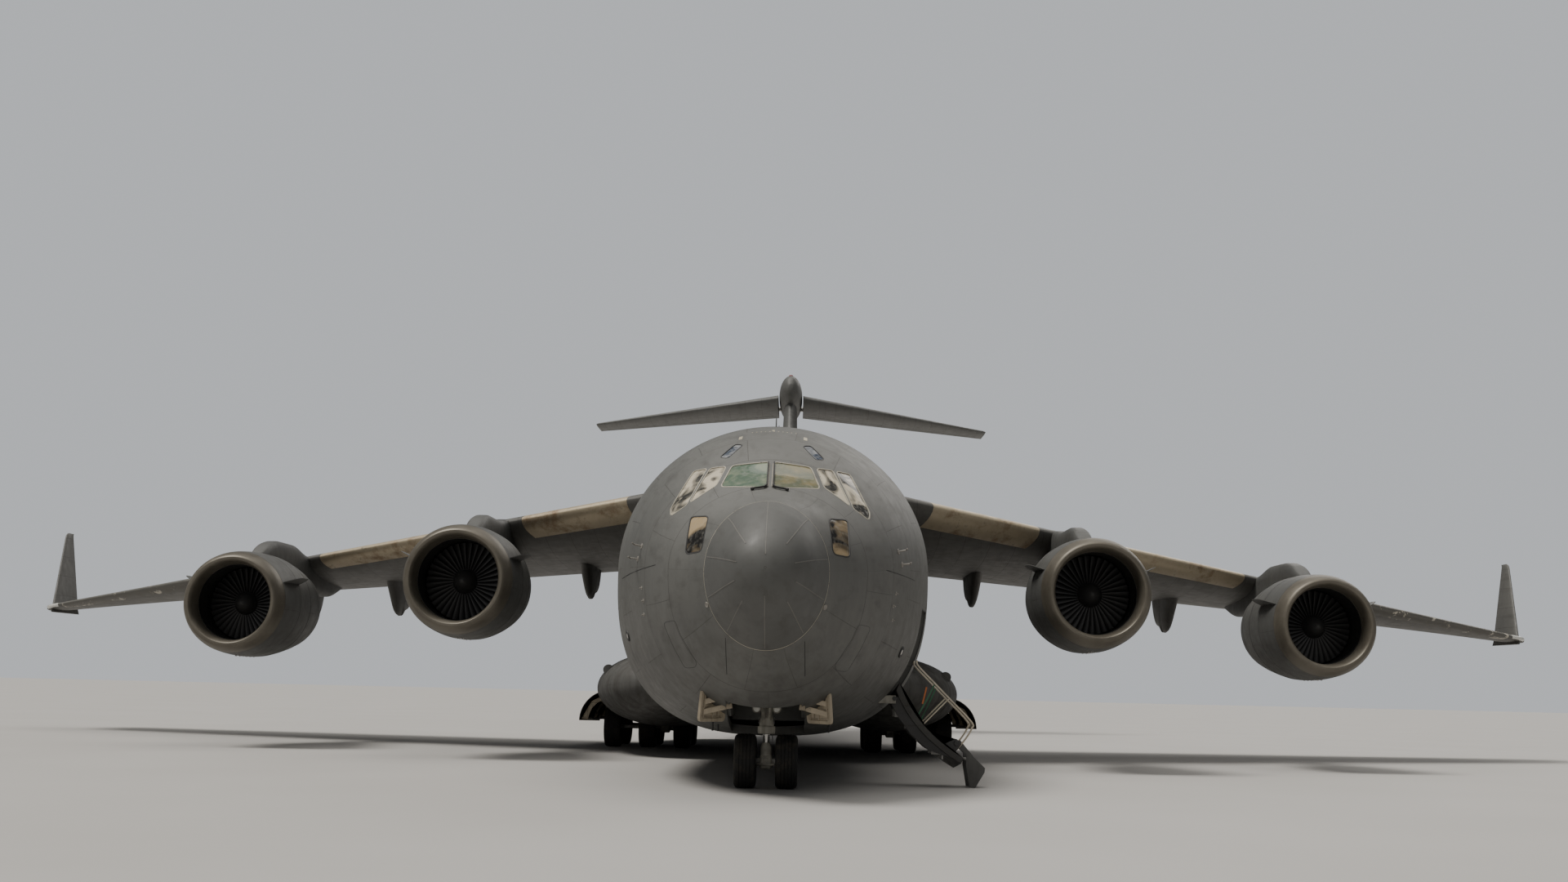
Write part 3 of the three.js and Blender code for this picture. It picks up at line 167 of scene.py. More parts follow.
def smooth(table, x):
    """Rows of a table read off at x along a curve through them that never overshoots."""
    table = np.asarray(table, float)
    x = np.asarray(x, float)
    xs, ys = table[:, 0], table[:, 1:]
    h = np.diff(xs)[:, None]
    d = np.diff(ys, axis=0) / h
    slope = np.vstack([d[:1], np.zeros_like(d[1:]), d[-1:]])
    a, b, p, q = d[:-1], d[1:], 2 * h[1:] + h[:-1], h[1:] + 2 * h[:-1]
    same = a * b > 1e-12
    slope[1:-1][same] = ((p + q) / (p / np.where(same, a, 1) + q / np.where(same, b, 1)))[same]
    i = np.clip(np.searchsorted(xs, x) - 1, 0, len(xs) - 2)
    t = ((x - xs[i]) / h[i, 0])[..., None]
    step = h[i]
    return (ys[i] * (1 + 2 * t) * (1 - t) ** 2 + slope[i] * step * t * (1 - t) ** 2
            + ys[i + 1] * t * t * (3 - 2 * t) + slope[i + 1] * step * t * t * (t - 1))


def patch(P, wrap=True, caps=True, loop=False):
    """A skin over a grid of points: rows are sections, wrap closes each row, loop closes the rows too,
    caps fills the first and last row. The UVs are metres around and metres along."""
    P = np.asarray(P, float)
    rows, cols = P.shape[:2]
    along = np.r_[0, np.cumsum(np.linalg.norm(np.diff(P, axis=0), axis=2).mean(1))]
    girth = np.linalg.norm(np.diff(np.concatenate([P, P[:, :1]], 1), axis=1), axis=2).max(0)
    around = np.r_[0, np.cumsum(girth)]
    if loop:
        along = np.r_[along, along[-1] + np.linalg.norm(P[0] - P[-1], axis=1).mean()]
    i, j = np.meshgrid(np.arange(rows if loop else rows - 1), np.arange(cols if wrap else cols - 1),
                       indexing="ij")
    i, j = i.ravel(), j.ravel()
    i2, j2 = (i + 1) % rows, (j + 1) % cols
    quads = np.stack([i * cols + j, i * cols + j2, i2 * cols + j2, i2 * cols + j], 1)
    uv = np.stack([np.stack([around[a], along[b]], -1)
                   for a, b in ((j, i), (j + 1, i), (j + 1, i + 1), (j, i + 1))], 1)
    V = P.reshape(-1, 3)
    tris, tuv = np.zeros((0, 3), int), np.zeros((0, 3, 2))
    if caps and wrap and not loop:
        ring = np.arange(cols)
        n = len(V)
        V = np.vstack([V, P[0].mean(0), P[-1].mean(0)])
        last = (rows - 1) * cols
        tris = np.vstack([np.stack([np.full(cols, n), (ring + 1) % cols, ring], 1),
                          np.stack([np.full(cols, n + 1), last + ring, last + (ring + 1) % cols], 1)])
        tuv = V[tris][:, :, [0, 2]]
    return [V, quads, uv, tris, tuv]


def turned_out(part):
    """The same closed part with all its faces outwards: the volume that they enclose is above zero."""
    V, Q, UQ, T, UT = part
    tri = np.vstack([Q[:, [0, 1, 2]], Q[:, [0, 2, 3]], T])
    a, b, c = V[tri[:, 0]], V[tri[:, 1]], V[tri[:, 2]]
    if np.einsum("ij,ij->i", a, np.cross(b, c)).sum() < 0:
        return [V, Q[:, ::-1], UQ[:, ::-1], T[:, ::-1], UT[:, ::-1]]
    return part


def object_from(name, parts):
    """One Blender mesh object from parts in full-size metres."""
    parts = [turned_out(p) for p in parts]
    shift = np.cumsum([0] + [len(p[0]) for p in parts[:-1]])
    V = np.vstack([p[0] for p in parts])
    Q = np.vstack([p[1] + s for p, s in zip(parts, shift)])
    T = np.vstack([p[3] + s for p, s in zip(parts, shift)])
    uv = np.vstack([np.vstack([p[2].reshape(-1, 2) for p in parts]),
                    np.vstack([p[4].reshape(-1, 2) for p in parts])])
    data = bpy.data.meshes.new(name)
    data.vertices.add(len(V))
    data.vertices.foreach_set("co", at(V).ravel())
    corners = np.r_[Q.ravel(), T.ravel()]
    data.loops.add(len(corners))
    data.loops.foreach_set("vertex_index", corners.astype(np.int32))
    sizes = np.r_[np.full(len(Q), 4), np.full(len(T), 3)]
    data.polygons.add(len(sizes))
    data.polygons.foreach_set("loop_start", np.r_[0, np.cumsum(sizes)[:-1]].astype(np.int32))
    data.polygons.foreach_set("loop_total", sizes.astype(np.int32))
    data.update(calc_edges=True)
    data.uv_layers.new(name="skin").data.foreach_set("uv", uv.ravel())
    made = bpy.data.objects.new(name, data)
    scene.collection.objects.link(made)
    return made


SHARP = 38  # degrees between faces, past which an edge is shaded as sharp
BEVEL_FROM = 40  # degrees, past which an edge is rounded


def finish_piece(piece, material, body, sharp, replaces):
    """Gives a piece its material, smooth shading, body and the solids it stands for."""
    data = piece.data
    data.materials.clear()
    data.materials.append(material)
    count = len(data.polygons)
    data.polygons.foreach_set("material_index", np.zeros(count, np.int32))
    data.polygons.foreach_set("use_smooth", np.ones(count, bool))
    data.set_sharp_from_angle(angle=math.radians(sharp))
    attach(piece, body)
    if replaces:
        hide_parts(*replaces)
    return piece


def carve(piece, tools, how="DIFFERENCE"):
    """Cuts the tools' parts out of a piece, or keeps only what lies in them."""
    made = [object_from("tool", [tool]) for tool in tools]
    for tool in made:
        step = piece.modifiers.new("cut", "BOOLEAN")
        step.operation = how
        step.solver = "MANIFOLD"
        step.object = tool
    bpy.context.view_layer.update()
    data = bpy.data.meshes.new_from_object(piece.evaluated_get(bpy.context.evaluated_depsgraph_get()))
    piece.modifiers.clear()
    piece.data = data
    for tool in made:
        bpy.data.objects.remove(tool)


def soften(piece, width):
    """Rounds a piece's edges by a width in full-size metres."""
    step = piece.modifiers.new("edges", "BEVEL")
    step.width, step.segments = width * 0.5, 2
    step.limit_method, step.angle_limit = "ANGLE", math.radians(BEVEL_FROM)


def make(name, parts, material, body="airframe", slot="paint", sharp=SHARP, replaces=(), cut=(), keep=(),
         bevel=0):
    """One finished piece: cut and keep are tools as parts, bevel rounds its edges in full-size metres."""
    piece = object_from(name, parts)
    if cut:
        carve(piece, cut)
    if keep:
        carve(piece, keep, "INTERSECT")
    finish_piece(piece, material, body, sharp, replaces)
    if bevel:
        soften(piece, bevel)
    return piece


def twin(piece, name, body, replaces=(), sharp=SHARP):
    """The same piece on the aircraft's other side."""
    data = piece.data.copy()
    data.transform(Matrix.Diagonal((-1, 1, 1, 1)))
    data.flip_normals()
    made = bpy.data.objects.new(name, data)
    scene.collection.objects.link(made)
    for step in piece.modifiers:
        copy = made.modifiers.new(step.name, step.type)
        for key in ("width", "segments", "limit_method", "angle_limit"):
            setattr(copy, key, getattr(step, key))
    return finish_piece(made, piece.data.materials[0], body, sharp, replaces)


def both(name, parts, material, body="airframe", slot="paint", replaces=(), **more):
    """A piece on the left side and its mirror image on the right; {} in the names becomes the side."""
    left = make(name.format("left"), parts, material, body.format("left"), slot,
                replaces=[r.format("left") for r in replaces], **more)
    twin(left, name.format("right"), body.format("right"), [r.format("right") for r in replaces],
         more.get("sharp", SHARP))
    return left


def block(low, high):
    """A box between two corners."""
    (x0, y0, z0), (x1, y1, z1) = low, high
    ring = np.array([[x0, z0], [x1, z0], [x1, z1], [x0, z1]])
    return patch([[(x, y, z) for x, z in ring] for y in (y0, y1)])


def pushed(outline, low, high, axis="x"):
    """An outline pushed out between two depths: in the side view (y, z) along x, in the front view (x, z)
    along y, or in the plan view (x, y) along z. The outline must be star-shaped about its middle."""
    o = np.asarray(outline, float)
    w = {"x": lambda d: np.c_[np.full(len(o), d), o],
         "y": lambda d: np.c_[o[:, 0], np.full(len(o), d), o[:, 1]],
         "z": lambda d: np.c_[o, np.full(len(o), d)]}[axis]
    return patch([w(low), w(high)])


def lathe(profile, centre, sides=96, axis="y", loop=False):
    """A profile of [along, radius] turned about an axis through the centre."""
    profile = np.asarray(profile, float)
    angle = 2 * np.pi * np.arange(sides) / sides
    along = np.repeat(profile[:, :1], sides, 1)
    c, s = profile[:, 1:] * np.cos(angle), profile[:, 1:] * np.sin(angle)
    order = {"y": (c, along, s), "x": (along, c, s), "z": (c, s, along)}[axis]
    return patch(np.stack(order, -1) + np.asarray(centre, float), loop=loop)


def curve(points, steps=6):
    """A smooth line through the points of a profile."""
    p = np.asarray(points, float)
    q = np.vstack([2 * p[0] - p[1], p, 2 * p[-1] - p[-2]])
    t = np.linspace(0, 1, steps, endpoint=False)[:, None]
    pieces = [0.5 * (2 * b + (c - a) * t + (2 * a - 5 * b + 4 * c - d) * t * t + (3 * b - a - 3 * c + d)
                     * t ** 3)
              for a, b, c, d in zip(q[:-3], q[1:-2], q[2:-1], q[3:])]
    return np.vstack(pieces + [p[-1:]])


def sweep(path, profile, up=(0, 0, 1), closed=False, caps=True):
    """A small closed profile [sideways, upwards] carried along a path; up is one vector, or one a point."""
    path, profile = np.asarray(path, float), np.asarray(profile, float)
    up = np.broadcast_to(np.asarray(up, float), path.shape)
    run = np.roll(path, -1, 0) - np.roll(path, 1, 0) if closed else np.gradient(path, axis=0)
    run /= np.linalg.norm(run, axis=1)[:, None]
    side = np.cross(up, run)
    side /= np.linalg.norm(side, axis=1)[:, None] + 1e-12
    rise = np.cross(run, side)
    return patch(path[:, None] + profile[None, :, :1] * side[:, None] + profile[None, :, 1:] * rise[:, None],
                 caps=caps and not closed, loop=closed)


def round_profile(radius, sides=12):
    """A circle as a sweep's profile."""
    a = 2 * np.pi * np.arange(sides) / sides
    return np.c_[radius * np.cos(a), radius * np.sin(a)]


def strip(half, low, high, top=None):
    """A flat strip as a sweep's profile: half its width, its two heights, and half its width above."""
    top = half if top is None else top
    return np.array([(-half, low), (half, low), (top, high), (-top, high)])


def bar(a, b, radius, sides=20):
    """A round bar between two points with lightly rounded ends."""
    a, b = np.asarray(a, float), np.asarray(b, float)
    run = (b - a) / np.linalg.norm(b - a)
    up = np.array((0, 0, 1.0)) if abs(run[2]) < 0.9 else np.array((0, 1.0, 0))
    side = np.cross(up, run)
    side /= np.linalg.norm(side)
    rise = np.cross(run, side)
    angle = 2 * np.pi * np.arange(sides) / sides
    ring = np.cos(angle)[:, None] * side + np.sin(angle)[:, None] * rise
    soft = min(radius * 0.2, np.linalg.norm(b - a) * 0.2)
    return patch(np.stack([a + ring * (radius - soft), a + run * soft + ring * radius,
                           b - run * soft + ring * radius, b + ring * (radius - soft)]))


def rounded(points, radius, steps=6):
    """A closed outline with its corners rounded."""
    p = np.asarray(points, float)
    before, after = np.roll(p, 1, 0), np.roll(p, -1, 0)
    cut = lambda q: p + (q - p) * np.minimum(radius / np.linalg.norm(q - p, axis=1), 0.45)[:, None]
    a, b = cut(before), cut(after)
    t = np.linspace(0, 1, steps)[None, :, None]
    return (a[:, None] * (1 - t) ** 2 + 2 * p[:, None] * t * (1 - t) + b[:, None] * t
            * t).reshape(-1, p.shape[1])


def resample(path, count, closed=True):
    """The same line with evenly spaced points."""
    p = np.asarray(path, float)
    p = np.vstack([p, p[:1]]) if closed else p
    run = np.r_[0, np.cumsum(np.linalg.norm(np.diff(p, axis=0), axis=1))]
    want = np.linspace(0, run[-1], count, endpoint=not closed)
    return np.stack([np.interp(want, run, p[:, k]) for k in range(p.shape[1])], 1)


# Colour, roughness and height of weathered paint: cloudy fading, streaks along the airflow, patchy darkening
# towards the bottom, and dark panel joints. The panels are a brick bond on the skin's own metres, around and
# along.
def effect(name, sockets_in, sockets_out):
    """An empty node group with named inputs and outputs."""
    made = bpy.data.node_groups.new(name, "ShaderNodeTree")
    for label, kind, value in sockets_in:
        socket = made.interface.new_socket(label, in_out="INPUT", socket_type="NodeSocket" + kind)
        if value is not None:
            socket.default_value = value
    for label, kind in sockets_out:
        made.interface.new_socket(label, in_out="OUTPUT", socket_type="NodeSocket" + kind)
    return made, made.nodes.new("NodeGroupInput"), made.nodes.new("NodeGroupOutput")


aged, inlet, outlet = effect(
    "aged_paint", [("Place", "Vector", None), ("Skin", "Vector", None),
                   ("Fresh", "Color", (0.13, 0.135, 0.13, 1)), ("Faded", "Color", (0.19, 0.19, 0.18, 1)),
                   ("Grime", "Color", (0.035, 0.03, 0.025, 1)), ("Panel", "Float", 2.4),
                   ("Low darkening", "Float", 0.4)],
    [("Color", "Color"), ("Roughness", "Float"), ("Height", "Float")])
place = inlet.outputs["Place"]
clouds = noise(aged, place, 0.55, 6.0, 0.62)
mottle = noise(aged, place, 7.0, 5.0, 0.6)
grains = noise(aged, place, 160.0, 2.0)
drawn = node(aged, "Mapping", {"Vector": place, "Scale": (9.0, 0.7, 9.0)}).outputs[0]
streaks = noise(aged, drawn, 1.0, 5.0, 0.55)
hung = node(aged, "Mapping", {"Vector": place, "Scale": (6.0, 6.0, 0.5)}).outputs[0]
runs = noise(aged, hung, 1.3, 4.0, 0.6)
colour = mix(aged, spread(aged, clouds, 0.32, 0.70), inlet.outputs["Fresh"], inlet.outputs["Faded"])
bricks = node(aged, "TexBrick", {"Vector": inlet.outputs["Skin"], "Color1": grey(0.86), "Color2": grey(1.0),
                                 "Mortar": grey(0.9), "Scale": 1.0, "Mortar Size": 0.011,
                                 "Mortar Smooth": 0.25,
                                 "Brick Width": inlet.outputs["Panel"],
                                 "Row Height": math_node(aged, "MULTIPLY", inlet.outputs["Panel"], 0.5)},
              offset=0.5)
colour = mix(aged, 0.55, colour, bricks.outputs[0], "MULTIPLY")
colour = mix(aged, spread(aged, mottle, 0.35, 0.75, 0.0, 0.20), colour, inlet.outputs["Faded"])
colour = mix(aged, spread(aged, streaks, 0.52, 0.74, 0.0, 0.35), colour, inlet.outputs["Grime"])
# darker towards the bottom: patches that grow from a height of 2.6 in each piece's own coordinates to full at
# 0.2, scaled per material, and a little rougher there
low = spread(aged, node(aged, "SeparateXYZ", {0: place}).outputs[2], 2.6, 0.2)
darkening = math_node(aged, "MULTIPLY", math_node(aged, "MULTIPLY", spread(aged, runs, 0.38, 0.68), low),
                  inlet.outputs["Low darkening"])
colour = mix(aged, darkening, colour, inlet.outputs["Grime"])
colour = mix(aged, math_node(aged, "MULTIPLY", bricks.outputs[1], 0.55), colour, inlet.outputs["Grime"])
colour = mix(aged, spread(aged, grains, 0.3, 0.7, 0.0, 0.08), colour, inlet.outputs["Faded"])
aged.links.new(colour, outlet.inputs["Color"])
aged.links.new(math_node(aged, "ADD", spread(aged, mottle, 0.3, 0.7, 0.50, 0.66),
                         math_node(aged, "MULTIPLY", darkening, 0.2)),
               outlet.inputs["Roughness"])
height = math_node(aged, "ADD", math_node(aged, "MULTIPLY", bricks.outputs[1], -1.0),
                   math_node(aged, "MULTIPLY", grains, 0.10))
aged.links.new(height, outlet.inputs["Height"])


PLAIN = 60.0  # panels wider than any piece, so that no joint shows


def painted(name, fresh, faded, panel=2.4, low_darkening=0.4, darkening=grey(0.035, 0.031, 0.026), depth=0.004, **fixed):
    """A material of weathered paint in the given greys."""
    made, tree, shader, spot = coated(name, **fixed)
    group = node(tree, "Group", node_tree=aged)
    tree.links.new(spot, group.inputs["Place"])
    tree.links.new(spot.node.outputs["UV"], group.inputs["Skin"])
    for key, value in (("Fresh", fresh), ("Faded", faded), ("Grime", darkening), ("Panel", panel),
                       ("Low darkening", low_darkening)):
        group.inputs[key].default_value = value
    wire(tree, shader, *(group.outputs[label] for label in ("Color", "Roughness", "Height")), 0.5, depth)
    return made


PAINT = painted("paint_grey", grey(0.092, 0.094, 0.089), grey(0.132, 0.133, 0.125))

FUSELAGE = [  # station, half width, top, bottom, height of the widest line, fullness of the curve below it
    (0.00, 0.00, 3.82, 3.82, 3.82, 2.0), (0.12, 0.42, 4.25, 3.38, 3.82, 2),
    (0.45, 0.70, 4.60, 3.02, 3.83, 2), (1.25, 1.08, 5.07, 2.51, 3.85, 2),
    (1.90, 1.55, 5.28, 2.02, 3.90, 2.1), (2.70, 2.02, 5.70, 1.62, 3.98, 2.2),
    (3.50, 2.38, 6.22, 1.36, 4.06, 2.25), (4.80, 2.80, 6.84, 1.10, 4.14, 2.35),
    (6.50, 3.16, 7.27, 0.95, 4.24, 2.5), (8.20, 3.36, 7.60, 0.89, 4.36, 2.7),
    (10.50, 3.43, 7.90, 0.87, 4.42, 2.75), (31.00, 3.43, 7.90, 0.87, 4.42, 2.0),
    (34.00, 3.40, 7.90, 1.27, 4.50, 2.0), (37.00, 3.30, 7.90, 2.10, 4.70, 2.0),
    (40.00, 3.02, 7.86, 3.10, 5.05, 2.0), (43.50, 2.42, 7.74, 4.35, 5.60, 2.0),
    (46.50, 1.50, 7.55, 5.45, 6.35, 2.0), (48.90, 0.45, 7.25, 6.45, 6.85, 2.0)]
SECTIONS = np.array(FUSELAGE)
SECTIONS[:, 0] = np.sqrt(SECTIONS[:, 0])  # evenly spread over the blunt nose
SKIN = 0.15  # thickness of the shell
RUN = 0.024  # clearance round a moving piece
NOSE_END, CENTRE_END, RADOME_END = 10.5, 31.0, 1.25


def section(y):
    """Half width, top, bottom, waist height and lower fullness of the fuselage at a station."""
    return smooth(SECTIONS, np.sqrt(np.maximum(y, 0)))


def hull_rings(y, inset=0.0, columns=144):
    """Rings half * c**p by height * s**p, with p = 1 above the waist and 2 / fullness below it."""
    half, top, bottom, waist, full = section(np.atleast_1d(y)).T[:, :, None]
    a = 2 * np.pi * (np.arange(columns) + 0.5) / columns
    upper = np.sin(a) > 0
    bent = lambda share: np.sign(share) * np.abs(share) ** np.where(upper, 1.0, 2 / full)
    drawn = lambda size: np.maximum(0.004, size - inset)
    high = np.where(upper, drawn(top - waist), drawn(waist - bottom))
    x = drawn(half) * bent(np.cos(a))
    return np.stack([x, np.repeat(np.atleast_1d(y)[:, None], columns, 1), waist + high * bent(np.sin(a))], -1)


def hull_level(x, y, z, inset=0.0):
    """Below 1 inside the fuselage: |x / half|**n + |up / height|**n, n = 2 or the lower fullness."""
    half, top, bottom, waist, full = np.moveaxis(section(y), -1, 0)
    n = np.where(z > waist, 2.0, full)
    high = np.maximum(np.where(z > waist, top - waist, waist - bottom) - inset, 1e-3)
    return np.abs(x / np.maximum(half - inset, 1e-3)) ** n + np.abs((z - waist) / high) ** n


def tube(y0, y1, count, ahead=0.0, inset=SKIN):
    """A length of the hollow fuselage: its outside one way and its inside back."""
    y = np.linspace(y0, y1, count)
    return patch(np.concatenate([hull_rings(y), hull_rings(np.linspace(y1, y0 + ahead, count), inset)]),
                 loop=True)


def plug(y0, y1, count, inset=0.0):
    """A solid length of the fuselage's shape."""
    return patch(hull_rings(np.linspace(y0, y1, count), inset))


CREW = dict(start=6.20, end=7.15, hinge=(2.50, 1.735), open=114, lean=20.5, top=3.51)
BAY = dict(start=2.95, end=6.0, half=0.72, top=2.35)
RAMP = dict(y=31.0, z=1.24, nose=0.38, end=36.95, top_end=36.80, half=2.70, rise=0.185)
REAR = dict(start=37.06, end=43.4, half0=2.62, half1=1.55, skin=0.16, y=43.3, z=4.75)
PANES = [  # left-hand windows seen from the front, [sideways, up], and the radius of their corners
    ("windscreen", [(0.05, 5.45), (0.90, 5.50), (0.73, 5.97), (0.05, 6.05)], 0.06),
    ("side_window", [(1.00, 5.54), (1.46, 5.21), (1.15, 5.95), (0.86, 5.96)], 0.05),
    ("rear_window", [(1.54, 5.16), (1.82, 4.98), (1.84, 5.12), (1.48, 5.93), (1.23, 5.95)], 0.05),
    ("brow_window", [(0.84, 6.19), (0.99, 6.22), (0.73, 6.55), (0.59, 6.52)], 0.05),
    ("chin_window", [(1.07, 4.85), (1.40, 4.88), (1.44, 4.18), (1.15, 4.20)], 0.07)]
side_flip = np.array((-1, 1.0))


def pane_outline(points, radius, grow, side):
    """A pane's outline with rounded corners, moved outwards by grow, on the left or the right."""
    o = resample(rounded(points, radius), 96)
    run = np.roll(o, -1, 0) - np.roll(o, 1, 0)
    out = np.c_[run[:, 1], -run[:, 0]] / np.linalg.norm(run, axis=1)[:, None]
    if ((o - o.mean(0)) * out).sum() < 0:
        out = -out
    o = o + out * grow
    return o if side > 0 else o * side_flip


deck_top = lambda y: RAMP["z"] + RAMP["nose"] + (y - RAMP["y"]) * RAMP["rise"]
ramp_slot = pushed([(RAMP["y"], -1), (REAR["start"], -1), (REAR["start"], deck_top(REAR["start"]) + RUN),
                    (RAMP["y"], deck_top(RAMP["y"]) + RUN)], -3.7, 3.7)
ramp_seat = bar((-2.8, RAMP["y"], RAMP["z"]), (2.8, RAMP["y"], RAMP["z"]), RAMP["nose"] + 0.004, 64)


def rear_slot(grow, first=None):
    """The cargo door's opening in plan, grown by a margin all round."""
    first = grow if first is None else first
    return pushed([(-REAR["half0"] - grow, REAR["start"] - first),
                   (REAR["half0"] + grow, REAR["start"] - first), (REAR["half1"] + grow, REAR["end"] + grow),
                   (-REAR["half1"] - grow, REAR["end"] + grow)],
                  0, 5.3, "z")


pane_tools = [pushed(pane_outline(o, r, 0.012, s), 1, 7, "y") for _, o, r in PANES for s in (1, -1)]
nose_tools = [block((-BAY["half"], BAY["start"], 0), (BAY["half"], BAY["end"], BAY["top"])),
              block((1.6, CREW["start"] - RUN, CREW["hinge"][1] - RUN),
                    (3.6, CREW["end"] + RUN, CREW["top"] + RUN))]
make("nose_skin", [tube(RADOME_END + 0.012, NOSE_END, 90, 0.2)], PAINT, cut=pane_tools + nose_tools,
     replaces=["nose_section"])
make("centre_skin", [tube(NOSE_END, CENTRE_END, 42)], PAINT, cut=[ramp_seat], replaces=["centre_section"])
aft = np.concatenate([hull_rings(np.linspace(44.2, CENTRE_END, 60), SKIN),
                      hull_rings(np.linspace(CENTRE_END, 48.9, 90))])
make("aft_skin", [patch(aft)], PAINT, cut=[ramp_slot, ramp_seat, rear_slot(RUN, 0.09)],
     replaces=["aft_section"])



# ------------------------------------------------------------------------------
# Windows: ten curved panes of tinted glass, flush with the skin, each in a pale rubber seal. The panes are
# opaque: each clouds between the glass's own dark colour and a painted reflection, greenish on the left
# windscreen and golden on the right one.
def nose_surface(x, z, inset=0.0):
    """The station at which the nose reaches a place seen from the front."""
    x, z = np.asarray(x, float), np.asarray(z, float)
    low, high = np.zeros_like(x), np.full_like(x, 10.0)
    for _ in range(40):
        y = (low + high) / 2
        inside = hull_level(x, y, z, inset) < 1
        low, high = np.where(inside, low, y), np.where(inside, y, high)
    return np.stack([x, high, z], -1)


def nose_normal(P):
    """Outward direction of the fuselage's skin at points on it."""
    step = 0.01 * np.eye(3)
    n = np.stack([hull_level(*np.moveaxis(P + s, -1, 0)) - hull_level(*np.moveaxis(P - s, -1, 0))
                  for s in step], -1)
    return n / np.linalg.norm(n, axis=-1)[..., None]


def glass(name, a, b, scale):
    """Opaque glass whose colour clouds between its own dark colour and a painted reflection, with dust over
    it.
    """
    made, tree, shader, spot = coated(name, IOR=1.45, Specular_IOR_Level=0.35, Coat_Weight=0.1)
    tint_and_reflection = mix(tree, spread(tree, noise(tree, spot, scale, 3.0, bend=1.2), 0.42, 0.58), a, b)
    dust = noise(tree, spot, 22.0, 5.0)
    wire(tree, shader, mix(tree, spread(tree, dust, 0.45, 0.8, 0.0, 0.3), tint_and_reflection, grey(0.35, 0.34, 0.30)),
         spread(tree, dust, 0.4, 0.8, 0.05, 0.30))
    return made


# each pane's first colour is its own dark glass, the second mostly a painted reflection
GLASS = {"windscreen": (glass("glass_green", grey(0.10, 0.145, 0.105), grey(0.20, 0.235, 0.165), 3.4),
                        glass("glass_gold", grey(0.22, 0.19, 0.10), grey(0.12, 0.13, 0.085), 3.4)),
         "side_window": (glass("glass_cream", grey(0.035, 0.034, 0.030), grey(0.60, 0.54, 0.42), 3.6),) * 2,
         "brow_window": (glass("glass_blue", grey(0.03, 0.045, 0.075), grey(0.30, 0.31, 0.32), 5.0),) * 2,
         "chin_window": (glass("glass_dark", grey(0.012, 0.011, 0.010), grey(0.38, 0.29, 0.17), 2.6),) * 2}
GLASS["rear_window"] = GLASS["side_window"]
SEAL = painted("window_seal", grey(0.30, 0.28, 0.23), grey(0.42, 0.39, 0.32), low_darkening=0.0)
DARK_SEAL = painted("dark_seal", grey(0.03), grey(0.05), low_darkening=0.0)
share = np.r_[np.linspace(0.03, 1, 14), np.linspace(1, 0.03, 8)][:, None]
depth = np.r_[np.full(14, 0.010), np.full(8, 0.050)][:, None]
for label, outline, corner in PANES:
    for word, sign, kind in (("left", 1, 1), ("right", -1, 0)):
        edge = pane_outline(outline, corner, -0.004, sign)
        flat = edge.mean(0) + share[..., None] * (edge - edge.mean(0))
        pane = patch(nose_surface(flat[..., 0], flat[..., 1], depth * np.ones(len(edge))))
        rim = pane_outline(outline, corner, 0.012, sign)
        rim = nose_surface(rim[:, 0], rim[:, 1], 0.003)
        seal = DARK_SEAL if label in ("brow_window", "chin_window") else SEAL
        make(f"{label}_{word}", [pane], GLASS[label][kind], slot="glazing",
             replaces=["cockpit_glazing"] if (label, word) == ("windscreen", "left") else ())
        make(f"{label}_seal_{word}", [sweep(rim, strip(0.014, -0.006, 0.006, 0.011), nose_normal(rim),
                                            closed=True)],
             seal, slot="glazing")

# Wipers: an arm from a pivot low on each side to a blade parked upright beside the centre post
WIPER = painted("wiper_black", grey(0.012), grey(0.022), low_darkening=0.0)
for word, sign in (("left", 1), ("right", -1)):
    elbow = nose_surface([sign * 0.31, sign * 0.20, sign * 0.10, sign * 0.055], [5.385, 5.40, 5.425, 5.47])
    blade = nose_surface([sign * 0.055] * 12, np.linspace(5.44, 6.03, 12))
    lift = nose_normal(elbow) * 0.035
    rise = nose_normal(blade) * 0.03
    flat = strip(0.014, -0.012, 0.012, 0.010)
    pivot = nose_surface([sign * 0.31], [5.385])[0]
    out = nose_normal(pivot)
    make(f"wiper_{word}", [sweep(elbow + lift, flat * 1.3, nose_normal(elbow)),
                           sweep(blade + rise, flat, nose_normal(blade)),
                           bar(pivot - out * 0.02, pivot + out * 0.05, 0.032)], WIPER, slot="glazing")


# ------------------------------------------------------------------------------
# Radome: the smooth nose cap of moulded composite, a little darker than the hull, with thin lightning
# strips that run out to its rim and a seam behind it
RADOME = painted("radome_paint", grey(0.076, 0.078, 0.075), grey(0.108, 0.109, 0.103), panel=PLAIN, low_darkening=0.25,
                 depth=0.001)
tip = RADOME_END * np.linspace(0.01, 1, 60) ** 2
make("radome_cap", [patch(hull_rings(tip))], RADOME, slot="radome_paint", replaces=["radome"])
STRIP = painted("strip_grey", grey(0.125, 0.122, 0.112), grey(0.165, 0.160, 0.148), panel=PLAIN, low_darkening=0.1)
strips = []
for degrees, start in ((90, 0.03), (49, 0.20), (11, 0.17), (-20.5, 0.22), (-52, 0.30), (-90, 0.12),
                       (-128, 0.30), (-159.5, 0.22), (169, 0.17),
                       (131, 0.20)):
    y = np.linspace(start, 1.20, 24)
    half, top, bottom, waist, _ = section(y).T
    a = math.radians(degrees)
    rise = (top - waist) if a > 0 else (waist - bottom)
    line = np.stack([half * math.cos(a), y, waist + rise * math.sin(a)], 1)
    strips.append(sweep(line, strip(0.011, -0.004, 0.005, 0.008), nose_normal(line)))
make("radome_strips", strips, STRIP, slot="radome_paint")
rim = hull_rings([RADOME_END + 0.006], 0.004)[0]
make("radome_seam", [sweep(rim, strip(0.013, -0.008, 0.003), nose_normal(rim), closed=True)], SEAL,
     slot="radome_paint")


